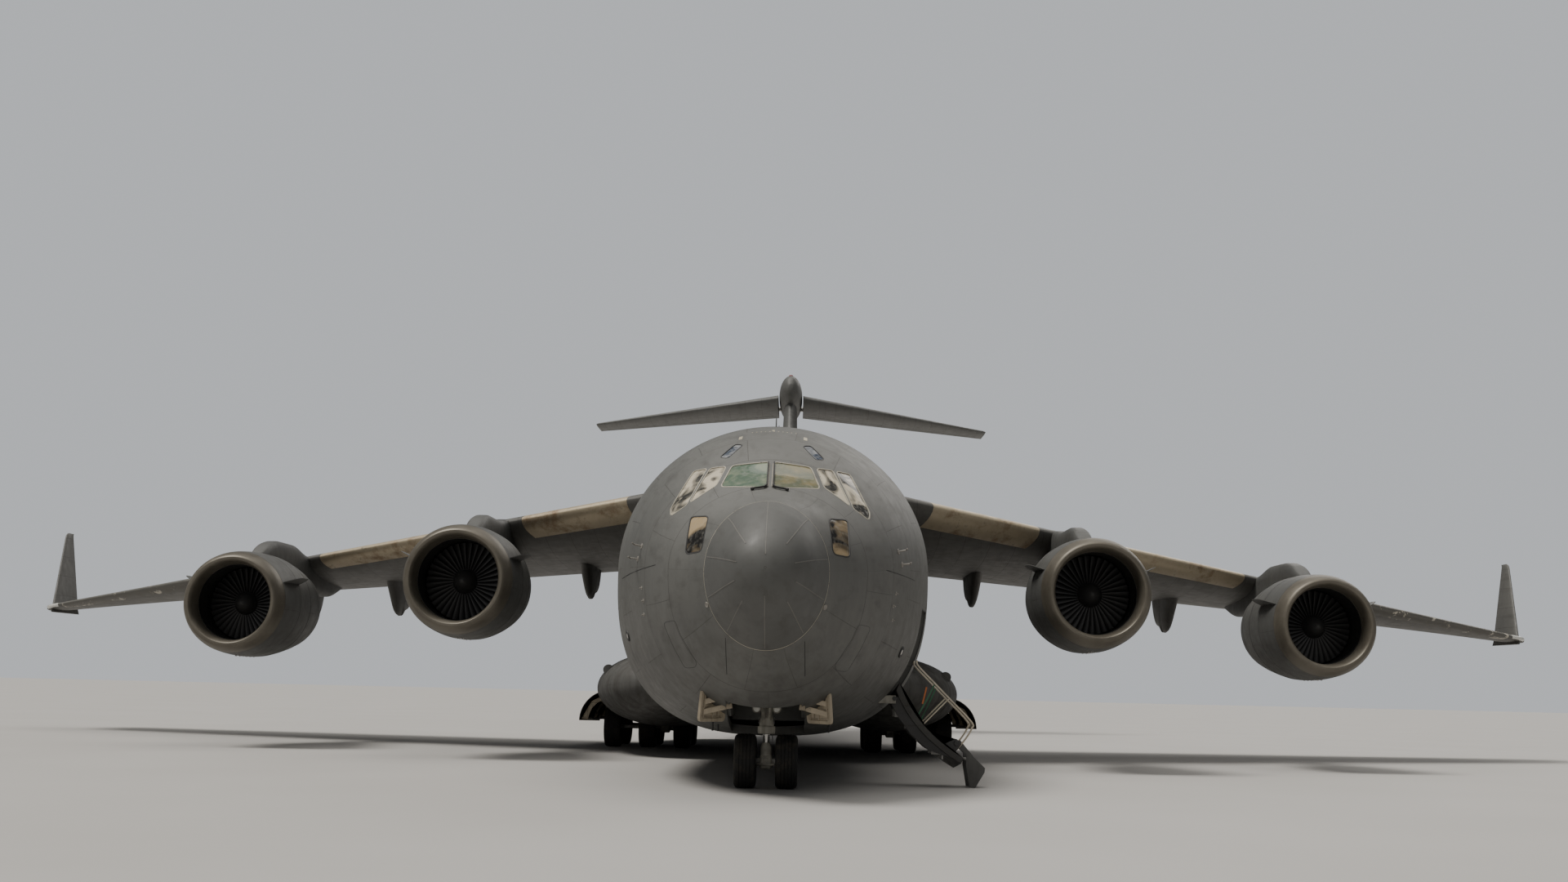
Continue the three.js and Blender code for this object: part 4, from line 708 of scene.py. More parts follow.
# ------------------------------------------------------------------------------
# Small things on the nose: air data probes, sensor studs, round lamps, hatch outlines, drain and tow
# points, refuelling marks on the crown and a blade aerial. All sit on the skin.
DARK = painted("port_black", grey(0.010), grey(0.02), low_darkening=0.0)
METAL, tree, shader, spot = coated("bright_steel", Metallic=0.9)
scratch = noise(tree, spot, 60.0, 4.0)
wire(tree, shader, mix(tree, scratch, grey(0.42, 0.41, 0.39), grey(0.62, 0.61, 0.58)),
     spread(tree, scratch, 0.3, 0.7, 0.22, 0.42))


def on_skin(x, z):
    """A place on the nose, seen from the front, and the direction outwards there."""
    spot = nose_surface([x], [z])[0]
    return spot, nose_normal(spot)


def disc(spot, out, radius, height, sides=28, dish=0.0):
    """A low round button on the skin with a softened rim."""
    up = np.array((0, 0, 1.0))
    side = np.cross(up, out)
    side /= np.linalg.norm(side)
    rise = np.cross(out, side)
    a = 2 * np.pi * np.arange(sides) / sides
    ring = np.cos(a)[:, None] * side + np.sin(a)[:, None] * rise
    rows = [(-0.03, 1.0), (height * 0.7, 1.0), (height, 0.88), (height - dish, 0.55), (height - dish, 0.05)]
    return patch(np.stack([spot + out * h + ring * radius * r for h, r in rows]))


HATCH = [(1.84, 3.01), (1.63, 3.03), (1.53, 2.78), (1.22, 2.29), (1.26, 2.21), (1.46, 2.20), (1.68, 2.58),
         (1.86, 2.96)]
hatches, probes, studs, lamps, lenses = [], [], [], [], []
for sign in (1, -1):
    path = resample(rounded([(sign * x, z) for x, z in HATCH], 0.06), 140)
    path = nose_surface(path[:, 0], path[:, 1])
    hatches.append(sweep(path, strip(0.005, -0.004, 0.0015), nose_normal(path), closed=True))
    for x, z in ((2.42, 4.47), (2.50, 4.24)):
        spot, out = on_skin(sign * x, z)
        knee = spot + out * 0.16
        probes.append(bar(spot - out * 0.03, knee, 0.016))
        probes.append(bar(knee + (0, 0.05, 0), knee + (0, -0.26, 0), 0.014))
        probes.append(disc(spot, out, 0.055, 0.012))
    for x, z in ((2.37, 3.67), (2.32, 3.43), (2.31, 3.18)):
        spot, out = on_skin(sign * x, z)
        studs.append(disc(spot, out, 0.036, 0.010))
        studs.append(bar(spot, spot + out * 0.05, 0.010))
    spot, out = on_skin(sign * (2.56 if sign > 0 else 2.80), 2.63 if sign > 0 else 2.85)
    lamps.append(disc(spot, out, 0.115, 0.03, dish=0.012))
    lenses.append(disc(spot + out * 0.012, out, 0.055, 0.014))
    spot, out = on_skin(sign * 1.01, 3.27)
    studs.append(disc(spot, out, 0.05, 0.02, dish=0.01))
make("hatch_outlines", hatches, DARK_SEAL)
STUD = painted("stud_grey", grey(0.20, 0.19, 0.17), grey(0.32, 0.30, 0.27), panel=PLAIN, low_darkening=0.2)
make("air_probes", probes, STUD, slot="bare_metal")
make("sensor_studs", studs, STUD, slot="bare_metal")
make("side_lamps", lamps, DARK_SEAL)
make("side_lamp_lenses", lenses, METAL, slot="bare_metal")
# thin dark lines on the skin: two along the cheeks and two low on the front
dark_lines = []
for x0, z0, x1, z1 in ((2.16, 4.06, 2.83, 4.02), (-2.06, 4.05, -2.98, 3.98), (0.68, 2.68, 0.70, 2.10),
                       (-0.68, 2.71, -0.67, 2.10)):
    path = nose_surface(np.linspace(x0, x1, 30), np.linspace(z0, z1, 30))
    dark_lines.append(sweep(path, strip(0.006, -0.004, 0.002), nose_normal(path)))
make("nose_dark_lines", dark_lines, DARK)
MARK = painted("mark_cream", grey(0.42, 0.38, 0.28), grey(0.55, 0.50, 0.38), low_darkening=0.0)
marks = []
for x, y, width, length in ((-0.65, 4.77, 0.07, 0.30), (0.63, 4.79, 0.07, 0.30),
                            (-0.02, 5.55, 0.05, 0.25)) + tuple(
        (x, 5.30, 0.020, 0.10) for x in np.linspace(-0.44, 0.44, 11)):
    ys = np.linspace(y - length / 2, y + length / 2, 8)
    half, top, bottom, waist, _ = section(ys).T
    path = np.stack([np.full(8, x), ys, waist + (top - waist) * np.sqrt(1 - (x / half) ** 2)], 1)
    marks.append(sweep(path, strip(width / 2, -0.004, 0.003), nose_normal(path)))
make("crown_marks", marks, MARK)


def half_thickness(s):
    """Half of an aerofoil's thickness at a share s of its chord: a root and four powers of s."""
    return 5 * (0.2969 * np.sqrt(s) - 0.126 * s - 0.3516 * s ** 2 + 0.2843 * s ** 3 - 0.1036 * s ** 4)


def aerial(x, y, z, height, chord, lean=0.35, thick=0.035, down=1):
    """A swept blade aerial: an aerofoil that narrows to its tip."""
    s = (1 - np.cos(np.linspace(0, np.pi, 12))) / 2
    form = half_thickness(s) * thick
    ring = np.vstack([np.c_[form, s], np.c_[-form[::-1], s[::-1]][1:-1]])
    t = np.linspace(0, 1, 8)
    size = (1 - 0.45 * t) * np.where(t > 0.95, 0.8, 1)
    return patch(np.stack([np.stack([x + ring[:, 0] * k, y + lean * height * u + ring[:, 1] * chord * k,
                                     np.full(len(ring), z + down * height * u)], 1)
                           for u, k in zip(t, size)]))


make("aerials", [aerial(0, 7.4, 7.38, 0.42, 0.34), aerial(0, 11.4, 7.86, 0.36, 0.40),
                 aerial(0, 33.5, 7.86, 0.40, 0.42),
                 aerial(0, 12.4, 0.90, 0.26, 0.34, down=-1), aerial(0.5, 15.2, 0.92, 0.22, 0.30, down=-1),
                 aerial(-0.5, 9.4, 0.92, 0.20, 0.26, down=-1)], PAINT)
masts = [bar((x, y, z), (x, y + 0.05, z - 0.22), 0.02)
         for x, y, z in ((-1.05, 4.9, 1.27), (-0.95, 5.0, 1.26), (1.2, 5.3, 1.27))]
make("drain_masts", masts, DARK_SEAL)


# ------------------------------------------------------------------------------
# Inside: a pale lining in the hold and the grey walls and frames of the nose wheel bay, in the darker deck
# grey as painted shade. The flight deck and the cargo floor are the solids themselves, in deck grey.
INNER = painted("inner_cream", grey(0.46, 0.39, 0.28), grey(0.56, 0.49, 0.37), panel=0.9, low_darkening=0.5,
                darkening=grey(0.10, 0.08, 0.06))
DECK = painted("deck_grey", grey(0.13, 0.135, 0.13), grey(0.19, 0.19, 0.18), panel=0.8, low_darkening=0.2)
for part_name in ("flight_deck", "cargo_floor"):
    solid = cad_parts[part_name]
    solid.data.materials.clear()
    solid.data.materials.append(DECK)
lining = np.concatenate([hull_rings(np.linspace(8.5, 43.8, 48), SKIN + 0.002),
                         hull_rings(np.linspace(43.8, 8.5, 48), SKIN + 0.03)])
make("hold_lining", [patch(lining, loop=True)], INNER, slot="inner_paint",
     cut=[ramp_slot, ramp_seat, rear_slot(0.05, 0.12)])
# the bay's walls and frames take the darker deck grey, not the hold's cream: painted shade in the bay
bay = [block((s * 0.72 - 0.03 * s - 0.03, 2.92, 1.35), (s * 0.72 - 0.03 * s + 0.03, 6.03, 2.38))
       for s in (1, -1)]
bay += [block((-0.72, 2.90, 1.75), (0.72, 2.95, 2.38)), block((-0.72, 6.0, 1.25), (0.72, 6.05, 2.38)),
        block((-0.78, 2.90, 2.35), (0.78, 6.05, 2.41))]
bay += [block((-0.70, y, 2.25), (0.70, y + 0.05, 2.35)) for y in np.arange(3.3, 6.0, 0.45)]
make("nose_bay_walls", bay, DECK, slot="inner_paint", keep=[plug(2.5, 6.6, 30, 0.06)])


# ------------------------------------------------------------------------------
# Crew door: a curved length of the hull's skin, swung down about its foot, with level treads between its
# side plates, a cream handrail on each side, and webbing straps. A folding step hangs from its lower end.
DOOR_TURN = math.radians(90 - CREW["lean"] - CREW["open"])
DOOR_AXES = np.array([(math.cos(DOOR_TURN), 0, math.sin(DOOR_TURN)),
                      (-math.sin(DOOR_TURN), 0, math.cos(DOOR_TURN))])
HINGE = np.array((CREW["hinge"][0], 0.0, CREW["hinge"][1]))


def on_door(u, v, y):
    """A place on the open door: u out along its slope from the hinge, v square to that, y along the hull."""
    return (HINGE + np.multiply.outer(u, DOOR_AXES[0]) + np.multiply.outer(v, DOOR_AXES[1])
            + np.multiply.outer(y, (0, 1, 0)))


def swung(points):
    """Points of the shut door turned down about its hinge."""
    a = math.radians(CREW["open"])
    x, z = points[..., 0] - HINGE[0], points[..., 2] - HINGE[2]
    return np.stack([HINGE[0] + x * math.cos(a) + z * math.sin(a), points[..., 1],
                     HINGE[2] - x * math.sin(a) + z * math.cos(a)], -1)


TREAD = painted("tread_grey", grey(0.30, 0.30, 0.29), grey(0.42, 0.42, 0.40), panel=PLAIN, low_darkening=0.6)
RAIL = painted("rail_cream", grey(0.50, 0.43, 0.33), grey(0.62, 0.56, 0.45), panel=PLAIN, low_darkening=0.2)
ys = np.linspace(CREW["start"], CREW["end"], 24)
z_shut = np.linspace(CREW["hinge"][1], CREW["top"], 48)


def hull_side(y, z, inset):
    """Left-hand skin of the fuselage at a station and a height."""
    half, top, bottom, waist, full = np.moveaxis(section(y), -1, 0)
    n = np.where(z > waist, 2.0, full)
    rise = np.where(z > waist, top - waist, waist - bottom) - inset
    return (half - inset) * np.clip(1 - np.abs((z - waist) / rise) ** n, 0, 1) ** (1 / n)


Y, Z = np.meshgrid(ys, z_shut, indexing="ij")
outer = np.stack([hull_side(Y, Z, 0.0), Y, Z], -1)
inner = np.stack([hull_side(Y, Z, SKIN * 0.75), Y, Z], -1)
rows = np.concatenate([outer, inner[:, ::-1]], 1)
# the door's skin is darker than the hull's paint: painted shade, as under the open door
SHADED = painted("door_painted_shade", grey(0.034, 0.034, 0.032), grey(0.056, 0.055, 0.051), panel=0.8, low_darkening=0.5)
make("crew_door_skin", [patch(swung(rows))], SHADED, body="crew_door", replaces=["crew_door"])
y0, y1 = CREW["start"] + 0.07, CREW["end"] - 0.07
TREADS, TREAD_STEP = 4, 0.344
treads, nosings = [], []
for i in range(TREADS):
    x, _, z = on_door(0.20 + i * TREAD_STEP, -0.07, 0.0)
    treads.append(block((x - 0.04, y0 + 0.03, z - 0.03), (x + 0.20, y1 - 0.03, z)))
    treads.append(block((x + 0.17, y0 + 0.03, z - 0.27), (x + 0.20, y1 - 0.03, z - 0.03)))
    treads += [block((x + 0.03 + k * 0.045, y0 + 0.06, z), (x + 0.042 + k * 0.045, y1 - 0.06, z + 0.006))
               for k in range(4)]
    nosings.append(block((x - 0.045, y0 + 0.028, z - 0.18), (x + 0.205, y0 + 0.036, z + 0.02)))
    nosings.append(block((x - 0.045, y1 - 0.036, z - 0.18), (x + 0.205, y1 - 0.028, z + 0.02)))
make("crew_treads", treads, TREAD, body="crew_door", slot="bare_metal", bevel=0.006)
make("crew_tread_ends", nosings, TREAD, body="crew_door", slot="bare_metal", bevel=0.004)
cheeks = []
for y in (y0 - 0.02, y1 - 0.02):
    line = resample([(0.02, -0.08), (0.30, -0.17), (0.75, -0.24), (1.2, -0.21), (1.45, -0.10), (1.65, 0.02),
                     (1.61, 0.36), (1.46, 0.36), (1.36, 0.10), (1.1, 0.0), (0.4, 0.08),
                     (0.05, 0.18)], 60)
    cheeks.append(patch([on_door(line[:, 0], line[:, 1], np.full(60, d)) for d in (y, y + 0.04)]))
pin = on_door(1.53, 0.30, 0.0)
cheeks += [bar(pin + (0, y - 0.015, 0), pin + (0, y + 0.055, 0), 0.065) for y in (y0 - 0.02, y1 - 0.02)]
foot = on_door(0.02, 0.02, 0.0)
cheeks += [bar(foot + (0, a, 0), foot + (0, b, 0), 0.05) for a, b in ((6.115, 6.24), (7.11, 7.235))]
make("crew_door_cheeks", cheeks, DARK_SEAL, body="crew_door", slot="paint", bevel=0.004)
rails = []
for y in (y0 + 0.02, y1 - 0.02):
    top = curve(on_door(np.array([1.62, 1.60, 1.54, 1.44, 0.80, 0.30, -0.06, -0.16, -0.19]),
                        np.array([0.06, 0.45, 0.72, 0.81, 0.82, 0.825, 0.83, 0.855, 0.90]), np.full(9, y)), 8)
    rails.append(sweep(top, round_profile(0.019), (0, 1, 0)))
    rails.append(bar(on_door(0.80, -0.05, y), on_door(0.80, 0.82, y), 0.014))
make("crew_rails", rails, RAIL, body="crew_door", slot="paint")
straps = []
for (u0, v0), (u1, v1), y, drop in (((0.40, 0.81), (0.64, -0.02), y0 + 0.05, 0.02),
                                    ((0.32, 0.66), (0.50, 0.36), y0 + 0.03, 0.01),
                                    ((0.52, 0.81), (0.80, 0.00), y1 - 0.05, 0.02)):
    t = np.linspace(0, 1, 16)
    line = on_door(lerp(u0, u1, t), lerp(v0, v1, t),
                   np.full(16, y)) - np.outer(np.sin(np.pi * t), (0, 0, drop))
    straps.append(sweep(line, strip(0.016, -0.002, 0.002), (0, 1, 0)))
WEB = painted("strap_green", grey(0.02, 0.10, 0.045), grey(0.05, 0.17, 0.09), panel=PLAIN, low_darkening=0.1)
ORANGE = painted("strap_orange", grey(0.42, 0.10, 0.02), grey(0.55, 0.17, 0.05), panel=PLAIN, low_darkening=0.1)
for word, strap, webbing in zip(("green", "orange", "far"), straps, (WEB, ORANGE, WEB)):
    make("door_strap_" + word, [strap], webbing, body="crew_door", slot="paint")

s0, s1 = y0 + 0.06, y1 - 0.06
leg = [(pin[0] - 0.03, pin[2] - 0.04), (pin[0] - 0.03, pin[2] + 0.05), (pin[0] + 0.08, pin[2] + 0.05),
       (4.15, 0.60),
       (4.375, 0.39), (4.365, 0.31), (4.18, 0.006), (4.07, 0.006), (4.00, 0.44), (4.01, 0.66), (3.95, 0.72)]


def plates(name, shapes, material, body, replaces=(), bevel=0.004):
    """Flat plates whose outlines may be hollow-sided, filled as whole polygons."""
    corners, faces = [], []
    for outline, low, high in shapes:
        o = np.asarray(outline, float)
        n, k = len(o), len(corners)
        V = np.vstack([np.c_[o[:, 0], np.full(n, d), o[:, 1]] for d in (low, high)])
        turn = (o[:, 0] * np.roll(o[:, 1], -1) - np.roll(o[:, 0], -1) * o[:, 1]).sum() > 0
        ring = list(range(n)) if turn else list(range(n))[::-1]
        corners += list(map(tuple, at(V)))
        faces.append([k + i for i in ring])
        faces.append([k + n + i for i in ring[::-1]])
        faces += [[k + ring[i], k + n + ring[i], k + n + ring[(i + 1) % n], k + ring[(i + 1) % n]][::-1]
                  for i in range(n)]
    data = bpy.data.meshes.new(name)
    data.from_pydata(corners, [], faces)
    data.uv_layers.new(name="skin")
    made = bpy.data.objects.new(name, data)
    scene.collection.objects.link(made)
    finish_piece(made, material, body, SHARP, replaces)
    soften(made, bevel)


STEEL = painted("gear_grey", grey(0.36, 0.35, 0.30), grey(0.48, 0.46, 0.40), panel=PLAIN, low_darkening=0.8)
STEP = painted("step_grey", grey(0.085, 0.086, 0.084), grey(0.130, 0.130, 0.125), panel=PLAIN, low_darkening=0.6)
plates("crew_step_legs", [(leg, s0, s0 + 0.035), (leg, s1 - 0.035, s1)], STEP, "crew_step",
       ["crew_step"])
boards = []
for x, z in ((3.97, 0.56), (4.145, 0.36)):
    boards.append(block((x, s0 + 0.03, z - 0.015), (x + 0.22, s1 - 0.03, z + 0.015)))
    boards += [block((x + 0.03 + k * 0.045, s0 + 0.06, z + 0.015),
                     (x + 0.042 + k * 0.045, s1 - 0.06, z + 0.021)) for k in range(4)]
boards.append(bar(pin + (0, s0 - 0.055, 0), pin + (0, s1 + 0.055, 0), 0.028))
boards.append(bar((4.12, s0 + 0.02, 0.10), (4.12, s1 - 0.02, 0.10), 0.02))
make("crew_step_boards", boards, TREAD, body="crew_step", slot="bare_metal", bevel=0.004)

# Frame round the doorway: a dark rubber seal, and steel lugs at the ends of the door's hinge
frame_line = []
for y, z in resample(rounded([(6.17, 1.70), (7.18, 1.70), (7.18, 3.54), (6.17, 3.54)], 0.02), 120):
    frame_line.append((float(hull_side(np.array(y), np.array(z), 0.004)), y, z))
frame_line = np.array(frame_line)
make("crew_door_seal", [sweep(frame_line, strip(0.02, -0.012, 0.008, 0.014), nose_normal(frame_line),
                              closed=True)],
     DARK_SEAL)
lugs = [block((2.14, a, 1.635), (2.56, b, 1.795)) for a, b in ((6.12, 6.175), (7.175, 7.23))]
make("crew_door_lugs", lugs, STEEL, slot="gear_steel", bevel=0.01)


# ------------------------------------------------------------------------------
# Rear loading ramp and the door above it: lengths of the hull's own skin; the ramp is a thick deck with
# cleats on top, its round hinge in a round seat
ramp_tool = pushed([(RAMP["y"], 0.5), (RAMP["end"], 0.5), (RAMP["end"], 2.1),
                    (RAMP["top_end"], deck_top(RAMP["top_end"])),
                    (RAMP["y"], deck_top(RAMP["y"]))], -RAMP["half"], RAMP["half"])
roll = bar((-RAMP["half"], RAMP["y"], RAMP["z"]), (RAMP["half"], RAMP["y"], RAMP["z"]), RAMP["nose"], 64)
make("ramp_hull", [plug(30.0, 37.5, 40)], PAINT, body="ramp", keep=[ramp_tool], replaces=["ramp"])
make("ramp_roll", [roll], PAINT, body="ramp", keep=[plug(30.0, 37.5, 12)])
cleats = []
for y in 31.6 + np.arange(22) * 0.235:
    z = deck_top(y)
    reach = min(2.45, float(section(np.array([y]))[0, 0]) - 0.35)
    cleats.append(block((-reach, y, z - 0.006), (reach, y + 0.05, z + 0.014)))
make("ramp_cleats", cleats, TREAD, body="ramp", slot="bare_metal", bevel=0.004)
rear_solid = np.concatenate([hull_rings(np.linspace(36.5, 44.0, 50)),
                             hull_rings(np.linspace(44.0, 36.5, 50), REAR["skin"])])
make("cargo_door_skin", [patch(rear_solid, loop=True)], PAINT, body="cargo_door", keep=[rear_slot(0)],
     replaces=["cargo_door"])
ribs = []
for y in np.linspace(37.6, 43.0, 9):
    rib = hull_rings([y], REAR["skin"] - 0.01)[0]
    low = hull_rings([y], REAR["skin"] + 0.09)[0]
    half = lerp(REAR["half0"], REAR["half1"], (y - REAR["start"]) / (REAR["end"] - REAR["start"])) - 0.10
    pick = (np.abs(rib[:, 0]) < half) & (rib[:, 2] < 5.0) & (rib[:, 2] < section(np.array([y]))[0, 3])
    o = np.argsort(rib[pick][:, 0])
    a, b = rib[pick][o], low[pick][o]
    ribs.append(patch(np.stack([a, a + (0, 0.07, 0), b + (0, 0.07, 0), b], 1)))
make("cargo_door_ribs", ribs, INNER, body="cargo_door", slot="inner_paint")
pins = [bar((s * 1.38, REAR["y"], REAR["z"]), (s * 1.74, REAR["y"], REAR["z"]), 0.035) for s in (1, -1)]
make("cargo_door_pins", pins, METAL, body="cargo_door", slot="bare_metal")
make("tail_port", [disc(np.array((0, 48.88, 6.9)), np.array((0, 1.0, 0)), 0.16, 0.03, dish=0.02)], DARK_SEAL)


# ------------------------------------------------------------------------------
# Wings: thin-skinned grey, swept back and drooping, with the slats, flaps, ailerons and hinge fairings cut
# from the same shape. The slats are bare metal with rust where the paint has gone; their tan is a painted
# reflection of the pale ground.
WING = dict(lead=14.1, sweep=0.5206, z=7.42, drop=0.13, chord=11.3, taper=0.33, tz=6.10, tdrop=0.071,
            thick=(1.55, 0.30))
TIP_X = 25.7


SHARE = (1 - np.cos(np.linspace(0, np.pi, 30))) / 2
ROUND = np.r_[SHARE, SHARE[::-1]]
FACE = np.r_[np.ones(30), -np.ones(30)]  # upper side, then lower side
CROWN = np.where(FACE > 0, 0.58, 1.0)  # the wing is flatter above than below


def wing_rings(x, grow=0.0):
    """Aerofoil sections of the left wing; the tip is drawn back and rounded."""
    x = np.atleast_1d(x)[:, None]
    tip = np.clip((x - 25.0) / 0.7, 0, 1)
    lead = WING["lead"] + WING["sweep"] * x + 0.75 * tip ** 2.2
    chord = (WING["chord"] - WING["taper"] * x) * (1 - tip ** 2.2) + 1.9 * tip ** 2.2
    thick = lerp(*WING["thick"], np.minimum(1, x / TIP_X)) * np.sqrt(np.clip(1 - 0.93 * tip ** 2, 0, 1))
    zl, zt = WING["z"] - WING["drop"] * x, WING["tz"] - WING["tdrop"] * x
    up = FACE * (half_thickness(ROUND) * CROWN * thick + 0.006 + grow)
    return np.stack([x + 0 * ROUND, lead - grow + ROUND * (chord + 2 * grow), lerp(zl, zt, ROUND) + up], -1)


def span_line(x0, y0, z0, x1, y1, z1):
    """A line's start and its direction."""
    start = np.array((x0, y0, z0))
    along = np.array((x1, y1, z1)) - start
    return start, along / np.linalg.norm(along)


def spar(share, x):
    """A place on the wing's middle plane at a share of its chord."""
    z = lerp(WING["z"] - WING["drop"] * x, WING["tz"] - WING["tdrop"] * x, share)
    return x, WING["lead"] + WING["sweep"] * x + share * (WING["chord"] - WING["taper"] * x), z


REAR_LINE = span_line(*spar(0.70, 0), *spar(0.70, 10))
LEAD_LINE = span_line(*spar(0, 0), *spar(0, 10))
along_at = lambda line, x: (x - line[0][0]) / line[1][0]


def square_to(along, back):
    """The direction backwards from a line, level unless it is given, at unit length."""
    back = np.array((-along[1], along[0], 0)) if back is None else np.asarray(back, float)
    return back / np.linalg.norm(back)


def line_prism(line, s, outline, back=None):
    """An outline of [backwards, upwards] carried along a line from s[0] to s[1]."""
    start, along = line
    back = square_to(along, back)
    up = np.cross(along, back)
    ring = np.asarray(outline, float)
    return patch([start + along * d + ring[:, :1] * back + ring[:, 1:] * up for d in s])


def line_box(line, s, t, n, back=None):
    """A box laid along a line: s runs along it, t backwards across it, n up."""
    return line_prism(line, s, [(t[0], n[0]), (t[1], n[0]), (t[1], n[1]), (t[0], n[1])], back)


def hinge_bar(line, s, radius, back=None):
    """The round nose of a control surface, just behind a line."""
    start, along = line
    back = square_to(along, back)
    return bar(start + along * s[0] + back * radius, start + along * s[1] + back * radius, radius, 40)


SURFACES = [("flap_inner", 4.55, 11.3, 4.2, (6.1, 9.9), 0), ("flap_outer", 11.36, 17.6, 3.6, (12.7, 16.0), 0),
            ("aileron", 17.66, 24.3, 3.0, (), 0.20)]
SLATS = [("slat_inner", 4.2, 7.35, 0.62), ("slat_middle", 8.65, 14.15, 0.50),
         ("slat_outer", 15.5, 24.6, 0.36)]
slat_tool = lambda row, back, end: line_box(LEAD_LINE, (along_at(LEAD_LINE, row[1]) - end,
                                                        along_at(LEAD_LINE, row[2]) + end),
                                            (-2, row[3] + back), (-1.5, 1.5))
rear_tool = lambda row, grow: line_box(REAR_LINE, (along_at(REAR_LINE, row[1]) - grow,
                                                   along_at(REAR_LINE, row[2]) + grow),
                                       (-grow, row[3] + 3), (-2.5, 2.5))
# the wings' paint is darker than the hull's: painted shade for their undersides
WING_PAINT_SHADED = painted("wing_grey", grey(0.078, 0.077, 0.072), grey(0.116, 0.114, 0.105), panel=1.6, low_darkening=0.3,
                     depth=0.003)
SLAT, tree, shader, spot = coated("slat_metal", Metallic=0.55)
grain = noise(tree, node(tree, "Mapping", {"Vector": spot, "Scale": (14.0, 1.6, 14.0)}).outputs[0], 1.0, 6.0,
              0.65)
stain = noise(tree, spot, 2.6, 7.0, 0.7)
# the tan is a painted reflection of the pale ground on the bare metal; the brown patches are rust
tan = mix(tree, grain, grey(0.38, 0.315, 0.215), grey(0.56, 0.490, 0.365))
tan = mix(tree, spread(tree, stain, 0.50, 0.68, 0.0, 0.75), tan, grey(0.16, 0.085, 0.040))
wire(tree, shader, mix(tree, spread(tree, grain, 0.60, 0.72, 0.0, 0.6), tan, grey(0.085, 0.075, 0.060)),
     spread(tree, stain, 0.3, 0.7, 0.38, 0.62), grain, 0.25, 0.002)
# The outer slats keep their dark paint, chipped to bright metal along the edge
CHIPPED, tree, shader, spot = coated("slat_chipped", Metallic=0.2)
worn = spread(tree, noise(tree, spot, 3.2, 8.0, 0.72), 0.585, 0.60)
cloud = noise(tree, spot, 9.0, 4.0)
dull = mix(tree, cloud, grey(0.075, 0.074, 0.068), grey(0.130, 0.124, 0.108))
wire(tree, shader, mix(tree, worn, dull, grey(0.47, 0.44, 0.37)), spread(tree, cloud, 0.3, 0.7, 0.45, 0.62),
     worn, 0.3,
     -0.002)

wing_x = np.r_[np.linspace(0.0005, 25.0, 46), 25.0 + 0.7 * np.sin(np.linspace(0.15, np.pi / 2, 9))]
whole_wing = patch(wing_rings(wing_x))
wing_cuts = [slat_tool(r, 0.004, 0.004) for r in SLATS] + [rear_tool(r, RUN) for r in SURFACES]
both("wing_skin_{}", [whole_wing], WING_PAINT_SHADED, replaces=["wing_{}"], cut=wing_cuts)
for row in SLATS:
    both(row[0] + "_skin_{}", [whole_wing], CHIPPED if row[0] == "slat_outer" else SLAT, slot="bare_metal",
         replaces=[row[0] + "_{}"], keep=[slat_tool(row, 0, 0)])


def fairing(x):
    """One flap hinge fairing: a deep canoe under the wing, thin-nosed and round-bellied."""
    start, along = REAR_LINE
    t = (x - start[0]) / along[0]
    hinge, span = start[1] + along[1] * t, start[2] + along[2] * t
    bottom, reach = span - 1.15, 0.30 * (WING["chord"] - WING["taper"] * x)
    keel = np.array([(hinge - reach * 0.97, span + 0.02), (hinge - reach * 0.55, span - 0.55),
                     (hinge - 0.30, bottom - 0.16), (hinge + 0.10, bottom - 0.22),
                     (hinge + 0.45, bottom - 0.04), (hinge + reach * 0.45, bottom + 0.09),
                     (hinge + reach * 0.70, span - 0.50), (hinge + reach * 0.81, span + 0.02)])
    wide = np.array([(hinge - reach * 0.98, 0.03), (hinge - reach * 0.45, 0.205), (hinge + 0.5, 0.20),
                     (hinge + reach * 0.82, 0.03)])
    y = hinge + reach * np.linspace(-0.965, 0.80, 44)
    low, half = smooth(keel, y)[:, 0], smooth(wide, y)[:, 0]
    a = np.linspace(0, np.pi, 20)
    drop = np.r_[np.sin(a) ** 0.75, -0.02, -0.02]
    P = np.stack([x + half[:, None] * np.r_[np.sign(np.cos(a)) * np.abs(np.cos(a)) ** 0.8, -1, 1][None, :],
                  y[:, None] + 0 * drop,
                  span + 0.05 - (span + 0.05 - low)[:, None] * drop], -1)
    return patch(P)


both("flap_fairings_{}", [fairing(x) for row in SURFACES for x in row[4]], WING_PAINT_SHADED,
     cut=[line_box(REAR_LINE, (0, 40), (-RUN, 8), (-3, 3))])
for row in SURFACES:
    ends = [along_at(REAR_LINE, row[1]), along_at(REAR_LINE, row[2])]
    part_of = row[0] + "_{}"
    tool = line_box(REAR_LINE, ends, (row[5], 5), (-2.5, 2.5)) if row[5] else rear_tool(row, 0)
    both(row[0] + "_skin_{}", [whole_wing], WING_PAINT_SHADED, body=part_of, replaces=[part_of], keep=[tool])
    if row[5]:
        both(row[0] + "_nose_{}", [hinge_bar(REAR_LINE, ends, row[5])], WING_PAINT_SHADED, body=part_of,
             keep=[whole_wing])
    else:
        # under its pin the fairing's rear half is cut back by the flap's 40 degrees
        below_pin = line_prism(REAR_LINE, (0, 40),
                               [(-0.4, -1.12), (0.0, -1.12), (0.36, -1.55), (-0.4, -1.55)])
        both(row[0] + "_fairings_{}", [fairing(x) for x in row[4]], WING_PAINT_SHADED, body=part_of,
             keep=[line_box(REAR_LINE, (0, 40), (0, 8), (-3, 3))], cut=[below_pin])
